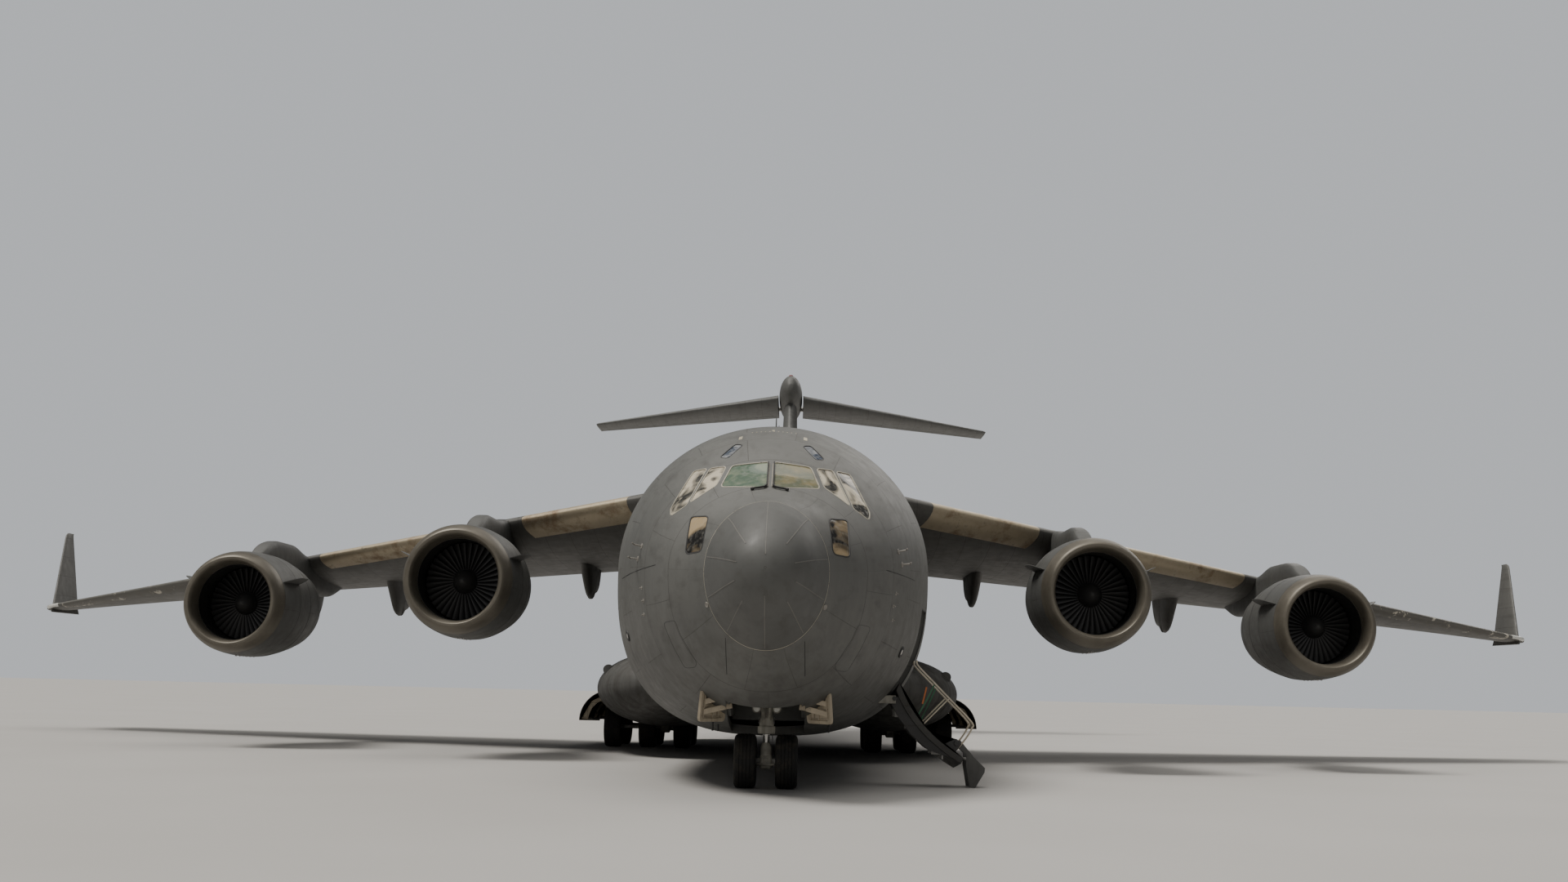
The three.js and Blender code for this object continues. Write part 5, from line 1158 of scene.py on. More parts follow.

# Winglets, plain grey, and a small lamp at each wing tip
t = np.r_[np.linspace(-0.10, 0.96, 24), 0.975, 0.99, 1.0][:, None]
soft = np.sqrt(np.clip(1 - np.clip((t - 0.94) / 0.062, 0, 1) ** 2, 0.02, 1))
chord = lerp(1.85, 0.50, t) * (0.75 + 0.25 * soft) * np.where(t < 0, 1 - 0.5 * t, 1)
winglet = patch(np.stack([lerp(25.12, 25.82, t)
                          + FACE * (half_thickness(ROUND) * lerp(0.22, 0.09, t) * soft + 0.004),
                          lerp(27.35, 29.25, t) + (1 - soft) * 0.2 + ROUND * chord,
                          lerp(4.12, 6.88, t) + 0 * ROUND], -1))
both("winglet_{}", [winglet], WING_PAINT_SHADED, cut=[block((24, 26, 3.0), (27, 31, 3.96))])
LAMP, tree, shader, spot = coated("lamp_glass", Roughness=0.08, Coat_Weight=0.5)
wire(tree, shader, mix(tree, noise(tree, spot, 30.0, 3.0), grey(0.50, 0.50, 0.46), grey(0.72, 0.72, 0.68)))
x, y, z = spar(0, np.linspace(24.75, 25.3, 12))
y = y + 0.75 * np.clip((x - 25) / 0.7, 0, 1) ** 2.2 + 0.05
both("wing_lamp_{}", [sweep(np.stack([x, y, z], 1), round_profile(0.062), (0, 0, 1))], LAMP, slot="glazing")
wicks = [bar((x, y - 0.02, z), (x, y + 0.18, z - 0.02), 0.009)
         for x, y, z in (spar(1, s) for s in (24.4, 24.7, 24.95))]
both("static_wicks_{}", wicks, DARK)

# Fairing where the wings cross the top of the fuselage
table = [(12.6, 0.30, -0.02), (13.0, 0.95, 0.09), (13.6, 1.5, 0.22), (15.2, 2.1, 0.42), (24.5, 2.1, 0.42),
         (27.5, 1.6, 0.25), (29.0, 0.9, 0.09), (29.6, 0.30, -0.02)]
y = np.linspace(12.6, 29.6, 80)
half, rise = smooth(table, y).T[:, :, None]
a = 2 * np.pi * np.arange(72) / 72
hump = patch(np.stack([half * np.cos(a), y[:, None] + 0 * a, 7.55 + (0.35 + rise) * np.sin(a)], -1))
make("wing_centre_fairing", [hump], PAINT)
y = np.linspace(12.2, 27.0, 60)[:, None]
swell = np.sin(np.pi * np.clip((y - 12.0) / 15.2, 0, 1)) ** 0.7
root = patch(np.stack([2.85 + 0.52 * swell * np.cos(a), y + 0 * a,
                       6.62 - 0.03 * (y - 14) + 0.66 * swell * np.sin(a)], -1))
both("wing_root_fairing_{}", [root], PAINT)


# ------------------------------------------------------------------------------
# Engines: long round cowls under forward pylons, each with a broad lip of dull bare metal, an intake lined in
# near-black as painted shade, a chine on each side, a many-bladed fan darkened as painted shade, with a
# pointed spinner, and a dark hot nozzle behind
ENGINES = [("inner", 7.96, 12.58, 4.41), ("outer", 14.79, 16.06, 3.90)]  # place of each lip's middle
VANES = 40
FAN = dict(y=1.36, root=0.30, tip=0.992, blades=36)
LIP, tree, shader, spot = coated("lip_metal", Metallic=0.45)
cloud = noise(tree, spot, 2.2, 6.0, 0.65)
grain = noise(tree, spot, 45.0, 4.0)
tan = mix(tree, spread(tree, cloud, 0.32, 0.68), grey(0.098, 0.087, 0.068), grey(0.155, 0.141, 0.114))
wire(tree, shader, mix(tree, spread(tree, grain, 0.5, 0.75, 0.0, 0.35), tan, grey(0.115, 0.105, 0.085)),
     spread(tree, cloud, 0.3, 0.7, 0.40, 0.58), grain, 0.15)
COWL = painted("cowl_grey", grey(0.060, 0.062, 0.060), grey(0.092, 0.093, 0.088), panel=1.9, low_darkening=0.5,
               depth=0.003)
# near-black for the intake linings, the guide vanes, the bulkheads that close off each engine and the wheel
# wells: painted shade
SHADE_BLACK = painted("painted_shade_black", grey(0.007, 0.007, 0.007), grey(0.011, 0.011, 0.011), panel=0.6, low_darkening=0.0)
HOT, tree, shader, spot = coated("hot_nozzle", Metallic=0.7)
burn = noise(tree, node(tree, "Mapping", {"Vector": spot, "Scale": (6.0, 1.0, 6.0)}).outputs[0], 1.2, 6.0)
wire(tree, shader, mix(tree, spread(tree, burn, 0.3, 0.7), grey(0.075, 0.062, 0.050),
                       grey(0.190, 0.155, 0.120)),
     spread(tree, burn, 0.3, 0.7, 0.32, 0.55))
# the fan blades are near-black metal, far darker than bare blades: painted shade deep in the intake
SHADED_BLADE, tree, shader, spot = coated("fan_blades", Metallic=0.75)
brushed = noise(tree, spot, 26.0, 5.0)
wire(tree, shader, mix(tree, brushed, grey(0.022, 0.022, 0.023), grey(0.042, 0.042, 0.043)),
     spread(tree, brushed, 0.3, 0.7, 0.34, 0.50))
SPINNER = painted("spinner_grey", grey(0.018), grey(0.030), panel=PLAIN, low_darkening=0.0)

lip_line = np.vstack([curve([(0.42, 1.372), (0.22, 1.325), (0.06, 1.252), (0.008, 1.20), (0.0, 1.16),
                             (0.012, 1.118), (0.10, 1.073), (0.30, 1.045),
                             (0.52, 1.028)], 6), [(0.52, 1.06), (0.42, 1.30)]])
cowl_line = np.vstack([curve([(0.425, 1.373), (0.70, 1.405), (1.30, 1.447), (1.85, 1.453), (2.40, 1.438),
                              (3.2, 1.345), (4.05, 1.205)], 8),
                       curve([(4.05, 1.180), (3.40, 1.185), (2.90, 1.195), (2.1, 1.13), (1.40, 1.06),
                              (0.9, 1.032), (0.525, 1.026)], 6),
                       [(0.525, 1.06), (0.425, 1.30)]])
core_line = curve([(1.75, 0.50), (2.1, 0.63), (2.60, 0.76), (3.20, 0.80), (3.80, 0.795), (4.40, 0.71),
                   (4.90, 0.615), (5.35, 0.525)], 6)
cone_line = curve([(5.0, 0.30), (5.35, 0.35), (5.60, 0.29), (5.90, 0.19), (6.08, 0.09), (6.14, 0.02)], 6)
for word, x, y, z in ENGINES:
    hub = (x, y, z)
    both(f"lip_{word}_{{}}", [lathe(lip_line, hub, loop=True)], LIP, slot="bare_metal", sharp=60)
    both(f"cowl_{word}_{{}}", [lathe(cowl_line, hub, loop=True)], COWL, replaces=[f"nacelle_{word}_{{}}"],
         sharp=50)
    duct = [(0.50, 1.031), (0.9, 1.026), (1.40, 1.052), (1.80, 1.09), (1.80, 1.07), (1.40, 1.035),
            (0.9, 1.012), (0.50, 1.020)]
    both(f"duct_{word}_{{}}", [lathe(duct, hub, loop=True)], SHADE_BLACK, slot="fan_metal")
    # outlet guide vanes behind the fan
    a = 2 * np.pi * np.arange(VANES) / VANES
    r = np.array([0.56, 0.80, 1.08])
    chordwise = np.array([(0.0, -0.012), (0.14, -0.018), (0.28, -0.006), (0.28, 0.006), (0.14, 0.004),
                          (0.0, 0.006)])
    base = np.stack([np.broadcast_to(chordwise[:, 1], (3, 6)),
                     np.broadcast_to(1.85 + chordwise[:, 0], (3, 6)),
                     np.repeat(r[:, None], 6, 1)], -1)
    vanes = [patch(np.stack([base[..., 0] * np.cos(k) + base[..., 2] * np.sin(k) + x, base[..., 1] + y,
                             -base[..., 0] * np.sin(k) + base[..., 2] * np.cos(k) + z], -1)) for k in a]
    both(f"vanes_{word}_{{}}", vanes, SHADE_BLACK, slot="fan_metal")
    both(f"core_{word}_{{}}", [lathe(np.vstack([core_line, core_line[::-1] - (0, 0.035)]), hub, loop=True)],
         HOT,
         slot="fan_metal")
    both(f"tail_cone_{word}_{{}}", [lathe(cone_line, hub)], HOT, slot="fan_metal")
    # near-black bulkheads that close off the engine's inside: painted shade
    back = [lathe([(2.95, 0.80), (3.0, 1.185), (3.03, 1.185), (3.0, 0.79)], hub, loop=True),
            lathe([(5.0, 0.28), (5.0, 0.585), (5.03, 0.585), (5.03, 0.28)], hub, loop=True)]
    both(f"bulkhead_{word}_{{}}", back, SHADE_BLACK, slot="fan_metal")
    # cowl joints: bands round the fan cowl and the reverser sleeve, and a keel line
    bands = [lathe([(s - 0.008, r0 - 0.01), (s - 0.008, r0 + 0.003), (s + 0.008, r0 + 0.003),
                    (s + 0.008, r0 - 0.01)], hub, loop=True)
             for s, r0 in ((1.50, 1.4515), (2.42, 1.437), (3.55, 1.29))]
    both(f"cowl_bands_{word}_{{}}", bands, DARK)
    latches = [block((x + 0.05 * k - 0.012, y + s, z - 1.462),
                     (x + 0.05 * k + 0.012, y + s + 0.10, z - 1.435))
               for s in (0.9, 1.2, 1.7, 2.0) for k in (-1, 1)]
    both(f"cowl_latches_{word}_{{}}", latches, METAL, slot="bare_metal", bevel=0.004)
    chines = []
    for turn in (24, 156):
        a = math.radians(turn)
        out = np.array((math.cos(a), 0, math.sin(a)))
        side = np.array((-math.sin(a), 0, math.cos(a)))
        s = np.linspace(0.50, 1.62, 24)
        foot = np.interp(s, cowl_line[:40, 0], cowl_line[:40, 1]) - 0.015
        tall = foot + 0.015 + 0.34 * np.sin(np.pi / 2 * np.clip((s - 0.48) / 0.55, 0,
                                                                1)) * np.clip((1.70 - s) / 0.25, 0.03,
                                                                              1) ** 0.5
        line = lambda r, w: np.array((x, y, z)) + np.outer(r, out) + np.outer(s, (0, 1, 0)) + side * w
        chines.append(patch(np.stack([line(foot, 0.014), line(tall, 0.006), line(tall, -0.006),
                                      line(foot, -0.014)], 1)))
    both(f"chines_{word}_{{}}", chines, COWL)
    # pylon: rounded box sections along its length
    _, lead_y, lead_z = spar(0, x)
    reach, rise = lead_y - y, lead_z - z
    top = np.array([(1.62, 1.20), (1.72, 1.42), (1.95, 1.57), (2.45, 1.80), (3.10, 1.92), (4.30, 1.93),
                    (reach, rise + 0.12), (reach + 2.1, rise + 0.22), (reach + 3.4, rise + 0.05),
                    (reach + 4.2, rise - 0.55)])
    low = np.array([(1.62, 0.85), (1.80, 0.52), (2.05, 0.40), (4.30, 0.36), (5.0, 0.44), (reach, 0.62),
                    (reach + 2.2, rise - 1.0),
                    (reach + 4.2, rise - 0.62)])
    wide = np.array([(1.62, 0.05), (1.70, 0.15), (1.85, 0.22), (2.2, 0.265), (reach + 1.2, 0.265),
                     (reach + 3.6, 0.12), (reach + 4.2, 0.02)])
    s = np.r_[1.62 + 0.3 * np.linspace(0, 1, 12) ** 2, np.linspace(1.97, reach + 4.2, 60)]
    zt, zb, half = (smooth(t, s)[:, :1] for t in (top, low, wide))
    a = 2 * np.pi * (np.arange(48) + 0.5) / 48
    cx, cz = (np.sign(f(a)) * np.abs(f(a)) ** 0.45 for f in (np.cos, np.sin))
    pylon = patch(np.stack([x + half * cx, y + s[:, None] + 0 * a, z + (zt + zb) / 2 + (zt - zb) / 2 * cz],
                           -1))
    both(f"pylon_{word}_skin_{{}}", [pylon], COWL, replaces=[f"pylon_{word}_{{}}"])
    ports = [disc(np.array((x + 0.262, y + 2.9, z + 1.72)), np.array((1.0, 0, 0)), 0.05, 0.008, dish=0.006)]
    both(f"pylon_port_{word}_{{}}", ports, DARK)
    # fan: a hub, a spinner and twisted blades
    r = np.linspace(FAN["root"], FAN["tip"], 11)
    out_share = (r - FAN["root"]) / 0.69
    twist = np.radians(lerp(38, 64, out_share))
    width = lerp(0.20, 0.27, out_share)
    s = (1 - np.cos(np.linspace(0, np.pi, 8))) / 2
    form = half_thickness(s) * 0.10 + 0.006
    bow = 0.10 * np.sin(np.pi * s)
    ring = np.vstack([np.c_[s - 0.5, bow + form], np.c_[s[::-1] - 0.5, (bow - form)[::-1]]])
    u, v = ring[:, 0] * width[:, None], ring[:, 1] * width[:, None]
    c, d = np.cos(twist)[:, None], np.sin(twist)[:, None]
    bx, by, bz = u * d + v * c, u * c - v * d, np.repeat(r[:, None], len(ring), 1)
    blades = [patch(np.stack([x + bx * math.cos(q) + bz * math.sin(q), y + FAN["y"] + by,
                              z - bx * math.sin(q) + bz * math.cos(q)], -1))
              for q in (2 * math.pi * k / FAN["blades"] for k in range(FAN["blades"]))]
    both(f"fan_blades_{word}_{{}}", blades, SHADED_BLADE, body=f"fan_{word}_{{}}", slot="fan_metal",
         replaces=[f"fan_{word}_{{}}"])
    nose = curve([(0.84, 0.012), (0.87, 0.07), (0.95, 0.155), (1.05, 0.225), (1.18, 0.28), (1.30, 0.315),
                  (1.52, 0.34)], 6)
    both(f"spinner_{word}_{{}}", [lathe(np.vstack([nose, [(1.56, 0.33)]]), hub, 64),
                                  bar((x, y + 1.5, z), (x, y + 1.9, z), 0.06)],
         SPINNER, body=f"fan_{word}_{{}}", slot="fan_metal")


# ------------------------------------------------------------------------------
# Tail: a tall swept fin with a rudder in two lengths, a bullet fairing on top, and a drooping tailplane
# that trims about a shaft in the bullet, with an elevator on each side
FIN = dict(y0=38.3, z0=6.9, c0=9.9, y1=45.55, z1=15.35, c1=6.0, t0=1.0, t1=0.62)


def fin_rings(share, grow=0.0):
    """Aerofoil sections of the fin at shares of its height."""
    t = np.atleast_1d(share)[:, None]
    out = FACE * (half_thickness(ROUND) * lerp(FIN["t0"], FIN["t1"], t) + 0.006 + grow)
    return np.stack([out, lerp(FIN["y0"], FIN["y1"], t) - grow + ROUND
                     * (lerp(FIN["c0"], FIN["c1"], t) + 2 * grow),
                     lerp(FIN["z0"], FIN["z1"], t) + 0 * ROUND], -1)


RUDDER_LINE = span_line(0, FIN["y0"] + 0.72 * FIN["c0"], FIN["z0"], 0, FIN["y1"] + 0.68 * FIN["c1"],
                        FIN["z1"])
rudder_back = -np.cross((1, 0, 0), RUDDER_LINE[1])
whole_fin = patch(fin_rings(np.linspace(0, 1, 30)))
RUDDERS = [("rudder_lower", 1.76, 5.0, 0.27), ("rudder_upper", 5.06, 8.75, 0.23)]
fin_cuts = [line_box(RUDDER_LINE, (a - RUN, b + RUN), (-RUN, 5), (-2, 2), rudder_back)
            for _, a, b, _ in RUDDERS]
# the tail's paint is darker than the hull's: painted shade for its undersides
TAIL_PAINT_SHADED = painted("tail_grey_painted_shade", grey(0.080, 0.082, 0.079), grey(0.116, 0.117, 0.111), panel=1.7, low_darkening=0.0,
                     depth=0.003)
make("fin_skin", [whole_fin], TAIL_PAINT_SHADED, cut=fin_cuts, replaces=["fin"])
for name, a, b, nose in RUDDERS:
    make(name + "_skin", [whole_fin], TAIL_PAINT_SHADED, body=name, replaces=[name],
         keep=[line_box(RUDDER_LINE, (a, b), (nose, 5), (-2, 2), rudder_back)])
    make(name + "_nose", [hinge_bar(RUDDER_LINE, (a, b), nose, back=rudder_back)], TAIL_PAINT_SHADED, body=name,
         keep=[whole_fin])
bullet = curve([(0.0, 0.012), (0.05, 0.15), (0.35, 0.36), (1.10, 0.50), (2.60, 0.56), (4.60, 0.52),
                (6.20, 0.34), (7.10, 0.10), (7.19, 0.02)], 8)
angle = 2 * np.pi * np.arange(72) / 72
P = np.stack([bullet[:, 1:] * np.cos(angle), 44.9 + bullet[:, :1] + 0 * angle,
              15.92 + 1.545 * bullet[:, 1:] * np.sin(angle)], -1)
make("fin_bullet", [patch(P)], TAIL_PAINT_SHADED,
     cut=[block((0.555, 40, 12), (2, 54, 18)), block((-2, 40, 12), (-0.555, 54, 18))])
root = np.linspace(36.0, 39.9, 30)[:, None]
swell = np.clip((root - 35.9) / 4.0, 0, 1)
dorsal = patch(np.stack([(0.05 + 0.30 * swell) * np.cos(angle), root + 0 * angle,
                         7.62 + (0.30 + 0.95 * swell ** 1.6) * np.sin(angle)], -1))
make("fin_root_fillet", [dorsal], TAIL_PAINT_SHADED)

TAIL = dict(x0=0.60, x1=9.905, y0=46.4, y1=50.95, c0=5.3, c1=2.09, z0=15.67, z1=15.02, t0=0.62, t1=0.20)


def tail_rings(x):
    """Aerofoil sections of the left tailplane; the tip is rounded."""
    x = np.atleast_1d(x)[:, None]
    t = (x - TAIL["x0"]) / (TAIL["x1"] - TAIL["x0"])
    soft = np.sqrt(np.clip(1 - np.clip((t - 0.985) / 0.0152, 0, 1) ** 2, 0.01, 1))
    up = FACE * (half_thickness(ROUND) * lerp(TAIL["t0"], TAIL["t1"], t) * soft + 0.006)
    return np.stack([x + 0 * ROUND, lerp(TAIL["y0"], TAIL["y1"], t) + ROUND * lerp(TAIL["c0"], TAIL["c1"], t),
                     lerp(TAIL["z0"], TAIL["z1"], t) + up], -1)


TAIL_LINE = span_line(TAIL["x0"], TAIL["y0"] + 0.66 * TAIL["c0"], TAIL["z0"],
                      TAIL["x1"], TAIL["y1"] + 0.62 * TAIL["c1"], TAIL["z1"])
TAIL_SPAN, TAIL_NOSE = (0.35, 9.2), 0.19
panel = patch(tail_rings(np.r_[np.linspace(0.60, 9.74, 30),
                               9.74 + 0.165 * np.sin(np.linspace(0.2, np.pi / 2, 7))]))
slot_ends = (TAIL_SPAN[0] - RUN, TAIL_SPAN[1] + RUN)
both("tailplane_skin_{}", [panel], TAIL_PAINT_SHADED, body="tailplane", replaces=["tailplane"],
     cut=[line_box(TAIL_LINE, slot_ends, (-RUN, 4), (-2, 2))])
make("tailplane_shaft", [bar((-0.62, 49.6, 15.75), (0.62, 49.6, 15.75), 0.12)], METAL, body="tailplane",
     slot="bare_metal")
both("elevator_skin_{}", [panel], TAIL_PAINT_SHADED, body="elevator_{}", replaces=["elevator_{}"],
     keep=[line_box(TAIL_LINE, TAIL_SPAN, (TAIL_NOSE, 5), (-2.5, 2.5))])
both("elevator_nose_{}", [hinge_bar(TAIL_LINE, TAIL_SPAN, TAIL_NOSE)], TAIL_PAINT_SHADED, body="elevator_{}",
     keep=[panel])
beacon = disc(np.array((0, 45.75, 16.60)), np.array((0, 0.02, 1.0)), 0.10, 0.07)
make("fin_beacon", [beacon], painted("beacon_red", grey(0.20, 0.012, 0.010), grey(0.30, 0.03, 0.02),
                                     low_darkening=0.0), slot="glazing")


# ------------------------------------------------------------------------------
# Wheel pods: long smooth blisters at the belly's sides, open below round the wheels, with the quarter-barrel
# doors swung out beside them, ribbed inside
POD = [(15.6, 0.10, 0.08, 2.00), (15.8, 0.48, 0.34, 1.98), (16.3, 1.00, 0.62, 1.92), (17.6, 1.62, 0.92, 1.86),
       (19.6, 2.00, 1.06, 1.82),
       (22.0, 2.10, 1.10, 1.82), (27.4, 2.10, 1.10, 1.82), (29.6, 1.72, 0.98, 1.86), (31.6, 1.05, 0.66, 1.96),
       (32.5, 0.50, 0.36, 2.07),
       (32.8, 0.12, 0.10, 2.10)]
y = np.r_[15.6 + 1.4 * np.linspace(0, 1, 16) ** 1.8, np.linspace(17.2, 31.4, 60), np.linspace(31.6, 32.8, 12)]
reach, half, middle = smooth(POD, y).T[:, :, None]
a = 2 * np.pi * np.arange(96) / 96
pod_at = lambda inset: patch(np.stack([3.20 + np.maximum(reach - inset, 0.02) * np.cos(a), y[:, None] + 0 * a,
                                       middle + np.maximum(half - inset, 0.02) * np.sin(a)], -1))
POD_PAINT = painted("pod_grey", grey(0.068, 0.069, 0.066), grey(0.105, 0.105, 0.099), panel=1.8, low_darkening=1.0,
                    depth=0.003)
both("wheel_pod_skin_{}", [pod_at(0)], POD_PAINT, replaces=["wheel_pod_{}"],
     cut=[block((2.45, 22.35, 0), (7, 27.0, 1.74)), block((0, 30.57, 0), (2.45, 40, 6))])
# the wells inside the pods are near-black: painted shade
well = [block((2.47, 22.30, 1.66), (5.28, 27.05, 1.76)), block((2.40, 22.36, 1.0), (2.47, 26.99, 1.74))]
well += [block((2.5, v, 1.56), (5.0, v + 0.06, 1.70)) for v in np.linspace(22.5, 26.8, 9)]
both("wheel_well_{}", well, SHADE_BLACK, slot="interior", keep=[pod_at(0.01)])
scoops = []
for v, w, h in ((17.9, 0.30, 0.16), (28.6, 0.34, 0.18)):
    ty = np.linspace(0, 1, 16)
    reach_v, half_v, mid_v = smooth(POD, v + ty * 0.9).T
    base = np.stack([3.20 + reach_v * math.cos(0.5), v + ty * 0.9, mid_v + half_v * math.sin(0.5)], 1)
    out = np.array((math.cos(0.5), 0, math.sin(0.5)))
    side = np.array((-math.sin(0.5), 0, math.cos(0.5)))
    k = np.linspace(0, np.pi, 12)
    ring = np.r_[np.c_[np.cos(k) * w / 2, np.sin(k) * h], [(-w / 2, -0.05), (w / 2, -0.05)]]
    fade = (1 - ty[:, None, None] ** 1.5) * 0.97 + 0.03
    scoops.append(patch(base[:, None] + side * ring[None, :, :1] * (1 - 0.4 * ty[:, None, None]) + out
                        * ring[None, :, 1:] * fade))
both("pod_scoops_{}", scoops, POD_PAINT)

DOOR = dict(x=5.17, z=1.74 - 0.0007 - 0.93)  # the middle of the barrel
a = np.linspace(0, np.pi / 2, 28)
arc = lambda r, a=a: np.c_[DOOR["x"] + r * np.cos(a), DOOR["z"] + r * np.sin(a)]


def barrel(outer, inner, low, high, steps=2):
    """A length of quarter barrel between two radii."""
    ring = np.vstack([arc(outer), arc(inner)[::-1]])
    return patch([np.c_[ring[:, 0], np.full(len(ring), v), ring[:, 1]]
                  for v in np.linspace(low, high, steps)])


both("main_door_skin_{}", [barrel(0.93, 0.90, 22.40, 26.95, 24)], POD_PAINT, replaces=["main_door_{}"])
ribs = [barrel(0.905, r, v, v + w) for v, w, r in ((22.45, 0.05, 0.66), (24.65, 0.05, 0.66),
                                                   (26.85, 0.05, 0.66)) + tuple(
    (v, 0.035, 0.80) for v in np.linspace(22.85, 26.45, 8))]
for low, high in ((0.10, 0.14), (0.55, 0.59), (1.0, 1.04)):
    k = np.array([low, high])
    ring = np.vstack([arc(0.905, k), arc(0.83, k)[::-1]])
    ribs.append(patch([np.c_[ring[:, 0], np.full(4, v), ring[:, 1]] for v in (22.45, 26.9)]))
ribs.append(bar((5.23, 22.45, 1.68), (5.23, 26.9, 1.68), 0.05))
both("main_door_ribs_{}", ribs, INNER, slot="inner_paint", bevel=0.004)
foot = [block((5.47, v, DOOR["z"]), (6.08, v + 0.06, DOOR["z"] + 0.05)) for v in (22.45, 24.64, 26.84)]
both("main_door_feet_{}", foot, POD_PAINT, bevel=0.006)


# ------------------------------------------------------------------------------
# Wheels: black tyres with rounded shoulders and grooves round the tread, dusty below, on pale split rims with
# bolts and hub caps
TYRE, tree, shader, spot = coated("tyre_rubber", Specular_IOR_Level=0.35)
dust = noise(tree, spot, 9.0, 6.0, 0.7)
fine = noise(tree, spot, 120.0, 3.0)
rubber = mix(tree, fine, grey(0.012, 0.012, 0.012), grey(0.026, 0.025, 0.024))
wire(tree, shader, mix(tree, spread(tree, dust, 0.48, 0.72, 0.0, 0.5), rubber, grey(0.095, 0.080, 0.060)),
     spread(tree, dust, 0.3, 0.7, 0.72, 0.92), fine)
RIM = painted("rim_grey", grey(0.30, 0.30, 0.28), grey(0.40, 0.39, 0.36), panel=PLAIN, low_darkening=1.0)


def tyre_line(x, radius, width):
    """Half-round shoulders, a flat tread with four grooves, and a bead that meets the rim."""
    h = width / 2
    side = [(-0.62, 0.44), (-0.80, 0.50), (-0.94, 0.62), (-1.0, 0.76), (-0.97, 0.88), (-0.86, 0.955),
            (-0.70, 0.985)]
    tread = [(-0.66, 0.988)]
    for g in (-0.48, -0.16, 0.16, 0.48):
        tread += [(g - 0.035, 0.998), (g - 0.028, 0.975), (g + 0.028, 0.975), (g + 0.035, 0.998)]
    left = curve(side, 5)
    right = left[::-1] * (-1, 1)
    line = np.vstack([left, tread, [(0.66, 0.988)], right, [(0.60, 0.42), (-0.60, 0.42)]])
    return np.c_[x + line[:, 0] * h, line[:, 1] * radius]


BOLTS = 10
HUB_CAP = ((0.60, 0.02), (0.74, 0.03), (0.74, 0.09), (0.68, 0.125), (0.55, 0.13))


def rim_line(x, radius, width):
    """A deep dish on each side, the same both ways, with a lip at its edge and a bored middle."""
    side = np.array([(-0.62, 0.455), (-0.66, 0.47), (-0.62, 0.43), (-0.50, 0.38), (-0.30, 0.30),
                     (-0.36, 0.20), (-0.62, 0.17),
                     (-0.66, 0.10)])
    return np.vstack([side, side[::-1] * (-1, 1)]) * (width / 2, radius) + (x, 0)


def wheels(name, places, y, radius, width):
    """Wheels side by side on one axle: tyres, rims with hub caps, and bolts."""
    yz = np.array((0.0, y, radius))
    tyres = [lathe(tyre_line(x, radius, width), yz, 64, "x", loop=True) for x in places]
    rims, bolts = [], []
    for x in places:
        rims.append(lathe(rim_line(x, radius, width), yz, 56, "x", loop=True))
        for s in (-1, 1):
            cap = [(x + s * a * width / 2, b * radius) for a, b in HUB_CAP]
            rims.append(lathe(cap, yz, 24, "x"))
            for k in range(BOLTS):
                q = 2 * math.pi * k / BOLTS
                spot = yz + (x + s * 0.31 * width / 2, 0.255 * radius * math.cos(q),
                             0.255 * radius * math.sin(q))
                bolts.append(bar(spot, spot + (s * 0.07 * width, 0, 0), 0.016, 6))
    rims.append(bar(yz + (places[0], 0, 0), yz + (places[-1], 0, 0), 0.062))
    make(name + "_tyres", tyres, TYRE, body=name, slot="tyre", sharp=60, replaces=[name])
    make(name + "_rims", rims, RIM, body=name, slot="gear_steel", sharp=30)
    make(name + "_bolts", bolts, METAL, body=name, slot="bare_metal")


NOSE = dict(y=4.62, r=0.508, w=0.42, x=0.393)
MAIN = dict(front=23.42, rear=25.92, r=0.635, w=0.53, x=(2.97, 4.05, 5.13), leg=3.51)
wheels("nose_wheels", [-NOSE["x"], NOSE["x"]], NOSE["y"], NOSE["r"], NOSE["w"])
for word in ("front", "rear"):
    for side, sign in (("left", 1), ("right", -1)):
        places = [sign * x for x in MAIN["x"]][::sign]
        wheels(f"main_wheels_{word}_{side}", places, MAIN[word], MAIN["r"], MAIN["w"])


# ------------------------------------------------------------------------------
# Nose leg: a pale cast casing with a bright piston, scissor links, a drag brace, two taxi lamps on a
# crossbar, hoses, a towing fitting in front of the axle, and cream doors hung open on arms beside the bay
ny = NOSE["y"]
casing = [lathe(curve([(1.02, 0.155), (1.05, 0.166), (1.16, 0.166), (1.20, 0.140), (1.60, 0.132),
                       (1.95, 0.138), (2.20, 0.150)], 6), (0, ny, 0), 48, "z"),
          bar((-0.715, ny, 2.10), (0.715, ny, 2.10), 0.085, 32),
          bar((-0.30, ny, 2.10), (0.30, ny, 2.10), 0.12, 32)]
casing += [lathe([(h, 0.13), (h, 0.150), (h + 0.03, 0.150), (h + 0.03, 0.13)], (0, ny, 0), 40, "z", loop=True)
           for h in (1.30, 1.44, 1.72)]
for s in (-1, 1):
    casing.append(bar((s * 0.05, ny - 0.10, 1.30), (s * 0.14, 3.20, 2.26), 0.030))
    casing.append(bar((s * 0.10, ny + 0.08, 1.35), (s * 0.34, ny + 0.9, 2.25), 0.026))
casing.append(bar((-0.20, 3.20, 2.26), (0.20, 3.20, 2.26), 0.035))
casing.append(bar((-0.21, ny - 0.20, 1.50), (0.21, ny - 0.20, 1.50), 0.028))
casing.append(block((-0.045, ny - 0.22, 1.42), (0.045, ny - 0.08, 1.58)))
casing += [block((s * 0.10 - 0.03, ny - 0.16, 1.74), (s * 0.10 + 0.03, ny - 0.06, 1.92)) for s in (-1, 1)]
make("nose_leg_casing", casing, STEEL, slot="gear_steel", replaces=["nose_leg"], bevel=0.004)
housing, lens = [], []
